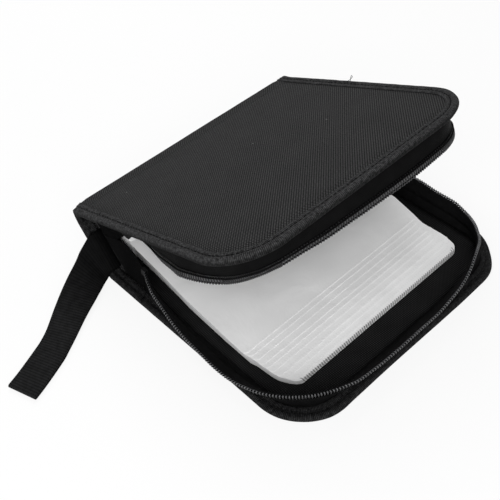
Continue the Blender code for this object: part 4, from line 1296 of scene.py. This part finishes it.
cloth = bent_strip(0.0, 1.0, 40, STRIP_SECTION, in_strip, behind=(0.5, 0.5), closed=True)
strip = make("film_strip", cloth, film_look)
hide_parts("sleeve_strip")
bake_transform(strip, "case_base", "spine", start=on_base(2 * MM, 0, 17 * MM),
         end=on_spine(STRIP_SEAT, 0, STRIP_SEAT_DEPTH))

# Wrist strap
# Black webbing is folded double and sewn into the spine's near end. It comes down on to the
# table, where its folded end lies flat.
STRAP_THICKNESS = 0.9 * MM
STRAP_GAP = 0.5 * MM
STRAP_ROOT = (27.8 * MM, 3.5 * MM)
# How the strap comes out over the binding, as inset and depth in millimetres
STRAP_SEAT = ((8.6, 3.2), (6.6, 4.6), (4.4, 5.3), (2.0, 5.4), (0.3, 4.9))
STRAP_LAID = 2.5
STRAP_STEPS = 8
STRAP_ROWS = 14
STRAP_WIDTH = 23 * MM
STRAP_PITCH = 1.55 * MM
TURN_STEPS = 8
TURN_RADIUS = STRAP_THICKNESS / 2 + STRAP_GAP / 2
STRAP_COLOUR = (0.0105, 0.0105, 0.0108)
# Its left and right edge in millimetres, from the near end of the base's fold
STRAP_STATIONS = (
    ((-10.2, -5.9, 21.0), (3.0, -2.5, 3.8)), ((-8.2, -11.9, 17.6), (4.8, -6.2, 3.6)),
    ((-4.5, -24.0, 12.0), (8.4, -13.1, 2.9)), ((1.3, -35.7, 7.2), (14.8, -25.9, STRAP_LAID)),
    ((7.8, -46.4, 3.4), (22.3, -38.5, STRAP_LAID)),
    ((11.2, -52.4, STRAP_LAID), (26.4, -45.3, STRAP_LAID)),
    ((13.8, -57.4, STRAP_LAID), (29.8, -51.0, STRAP_LAID)),
    ((19.9, -71.0, STRAP_LAID), (36.0, -64.8, STRAP_LAID)),
    ((23.0, -79.1, STRAP_LAID), (39.4, -73.6, STRAP_LAID)))

strap_look, tree, shader = look_with("black_webbing", STRAP_COLOUR, 0.6)
chart_map = on_chart(tree)
cords = use_group(tree, ribs, {"Vector": chart_map, "Pitch": STRAP_PITCH, "Slub": 0.15})
split = add_node(tree, "ShaderNodeSeparateXYZ", {0: chart_map})
# Near the root the ribs are pressed flat, and the colour has painted shade, darker towards the spine
pressed_and_shaded = ranged(tree, split.outputs[0], 0.4, 1.0, 10 * MM, 52 * MM)
standing = sums(tree, "MULTIPLY", cords["Height"], pressed_and_shaded)
# Painted shade in the valleys between the ribs
shade(tree, shader, STRAP_COLOUR, ranged(tree, standing, 0.6, 1.25),
      mottled(tree, chart_map, 260.0, 0.75, 1.25), pressed_and_shaded)
raise_bump(tree, shader, standing, 0.25 * MM)

edges = [tuple(on_spine(u, -COVER_HALF + inset * MM, depth * MM) for u in STRAP_ROOT)
         for inset, depth in STRAP_SEAT]
for pair in STRAP_STATIONS:
    edges.append(tuple(Vector((BASE_FOLD.x + x * MM, -COVER_HALF + y * MM, z * MM))
                       for x, y, z in pair))
lines = []
for i in range(len(edges) - 1):
    nearby = [edges[max(i - 1, 0)], edges[i], edges[i + 1], edges[min(i + 2, len(edges) - 1)]]
    for step in range(STRAP_STEPS):
        lines.append([smooth_between(*(pair[side] for pair in nearby), step / STRAP_STEPS)
                      for side in (0, 1)])
lines.append(list(edges[-1]))
frames = []
for i, (left, right) in enumerate(lines):
    before = lines[max(i - 1, 0)]
    after = lines[min(i + 1, len(lines) - 1)]
    way = (after[0] + after[1] - before[0] - before[1]).normalized()
    frames.append((left, right, (left - right).cross(way).normalized(), way))
last_left, last_right, last_normal, last_way = frames[-1]
middle_line = [(left - normal * STRAP_THICKNESS / 2, right - normal * STRAP_THICKNESS / 2)
               for left, right, normal, way in frames]
for k in range(1, TURN_STEPS):
    angle = math.pi * k / TURN_STEPS
    shift = last_way * TURN_RADIUS * math.sin(angle) - last_normal * (
        STRAP_THICKNESS / 2 + TURN_RADIUS * (1 - math.cos(angle)))
    middle_line.append((last_left + shift, last_right + shift))
for left, right, normal, way in reversed(frames):
    low = normal * (STRAP_THICKNESS / 2 + 2 * TURN_RADIUS)
    middle_line.append((left - low, right - low))
webbing = bmesh.new()
bmesh.ops.create_grid(webbing, x_segments=len(middle_line) - 1, y_segments=STRAP_ROWS, size=0.5)
travel = [0.0]
for (a, b), (c, d) in zip(middle_line, middle_line[1:]):
    travel.append(travel[-1] + ((c + d) / 2 - (a + b) / 2).length)
uv = webbing.loops.layers.uv.new("UVMap")
spots = {}
for vert in webbing.verts:
    spots[vert] = (round((vert.co.x + 0.5) * (len(middle_line) - 1)), vert.co.y + 0.5)
for face in webbing.faces:
    face.smooth = True
    for loop in face.loops:
        column, share = spots[loop.vert]
        loop[uv].uv = (travel[column], share * STRAP_WIDTH)
for vert, (column, share) in spots.items():
    left, right = middle_line[column]
    vert.co = left.lerp(right, share)
face_from(webbing, Vector((BASE_FOLD.x + 20 * MM, -COVER_HALF - 40 * MM, 1.2 * MM)))
strap = make("wrist_webbing", webbing, strap_look, STRAP_THICKNESS, offset=0)
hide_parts("wrist_strap")
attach(strap, "spine")

# Zip metal
# Two end stops, the slider with its bail and the pull tab are pressed from thin metal and baked
# black. The solids have their shapes, so they stay, with their edges rounded over.
METAL_COLOUR = (0.006, 0.006, 0.0062)
METAL_ROUNDING = 0.12 * MM

metal_look, tree, shader = look_with("black_metal", METAL_COLOUR, 0.45, specular=0.2)
wear = mottled(tree, in_piece(tree), 900.0, 0.7, 1.35)
shade(tree, shader, METAL_COLOUR, wear)
tree.links.new(ranged(tree, wear, 0.6, 0.4, 0.7, 1.35), shader.inputs["Roughness"])
for name in ("base_zip_stop", "lid_zip_stop", "zip_slider", "pull_tab"):
    node = frame["nodes"][name]
    node.data.materials.clear()
    node.data.materials.append(metal_look)
    rounding = node.modifiers.new("rounding", "BEVEL")
    rounding.width = METAL_ROUNDING
    rounding.segments = 2
    rounding.limit_method = "ANGLE"
    rounding.angle_limit = math.radians(40)

# Loose thread and lint
# A sewing thread's end stands up from the lid's far binding, and a few specks of pale lint lie on
# the lid and in the base, as they do on any black nylon.
LINT_COLOUR = (0.2, 0.2, 0.2)

lint_look, tree, shader = look_with("pale_lint", LINT_COLOUR, 0.8)
shade(tree, shader, LINT_COLOUR, mottled(tree, in_piece(tree), 2500.0, 0.5, 1.5))

tail = [on_lid(u * MM, y * MM, depth * MM) for u, y, depth in (
    (44.5, 78.6, 0.1), (50.0, 78.7, -0.45), (55.0, 78.2, -0.5), (58.5, 78.9, -0.6),
    (60.2, 80.6, -1.0), (61.4, 82.0, -2.2), (61.0, 81.8, -3.0), (61.8, 79.6, -1.2),
    (63.5, 78.6, -0.6), (66.5, 78.9, -0.5))]
points = [along_points(tail, i / 36) for i in range(37)]
thread = drawn_wire("loose_thread", points, 0.16 * MM, thread_look)
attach(thread, "lid")

for i, (place, body, u, y, depth, angle, length) in enumerate((
        (on_lid, "lid", 85.4, 37.0, -0.85, 0.4, 0.9), (on_lid, "lid", 23.1, -56.9, -0.35, 2.0, 0.7),
        (on_lid, "lid", 60.0, 5.0, -0.8, 1.1, 0.5), (on_base, "case_base", 104.0, 62.0, 3.2, 0.9, 1.0),
        (on_base, "case_base", 118.0, 63.5, 3.2, 2.4, 0.8))):
    points = []
    for k in range(7):
        reach = (k / 6 - 0.5) * length * MM
        bow = 0.25 * length * MM * math.sin(math.pi * k / 6)
        points.append(place(u * MM + reach * math.cos(angle), y * MM + reach * math.sin(angle),
                            depth * MM) + Vector((0, 0, bow)))
    speck = drawn_wire("lint_" + str(i), points, 0.14 * MM, lint_look)
    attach(speck, body)
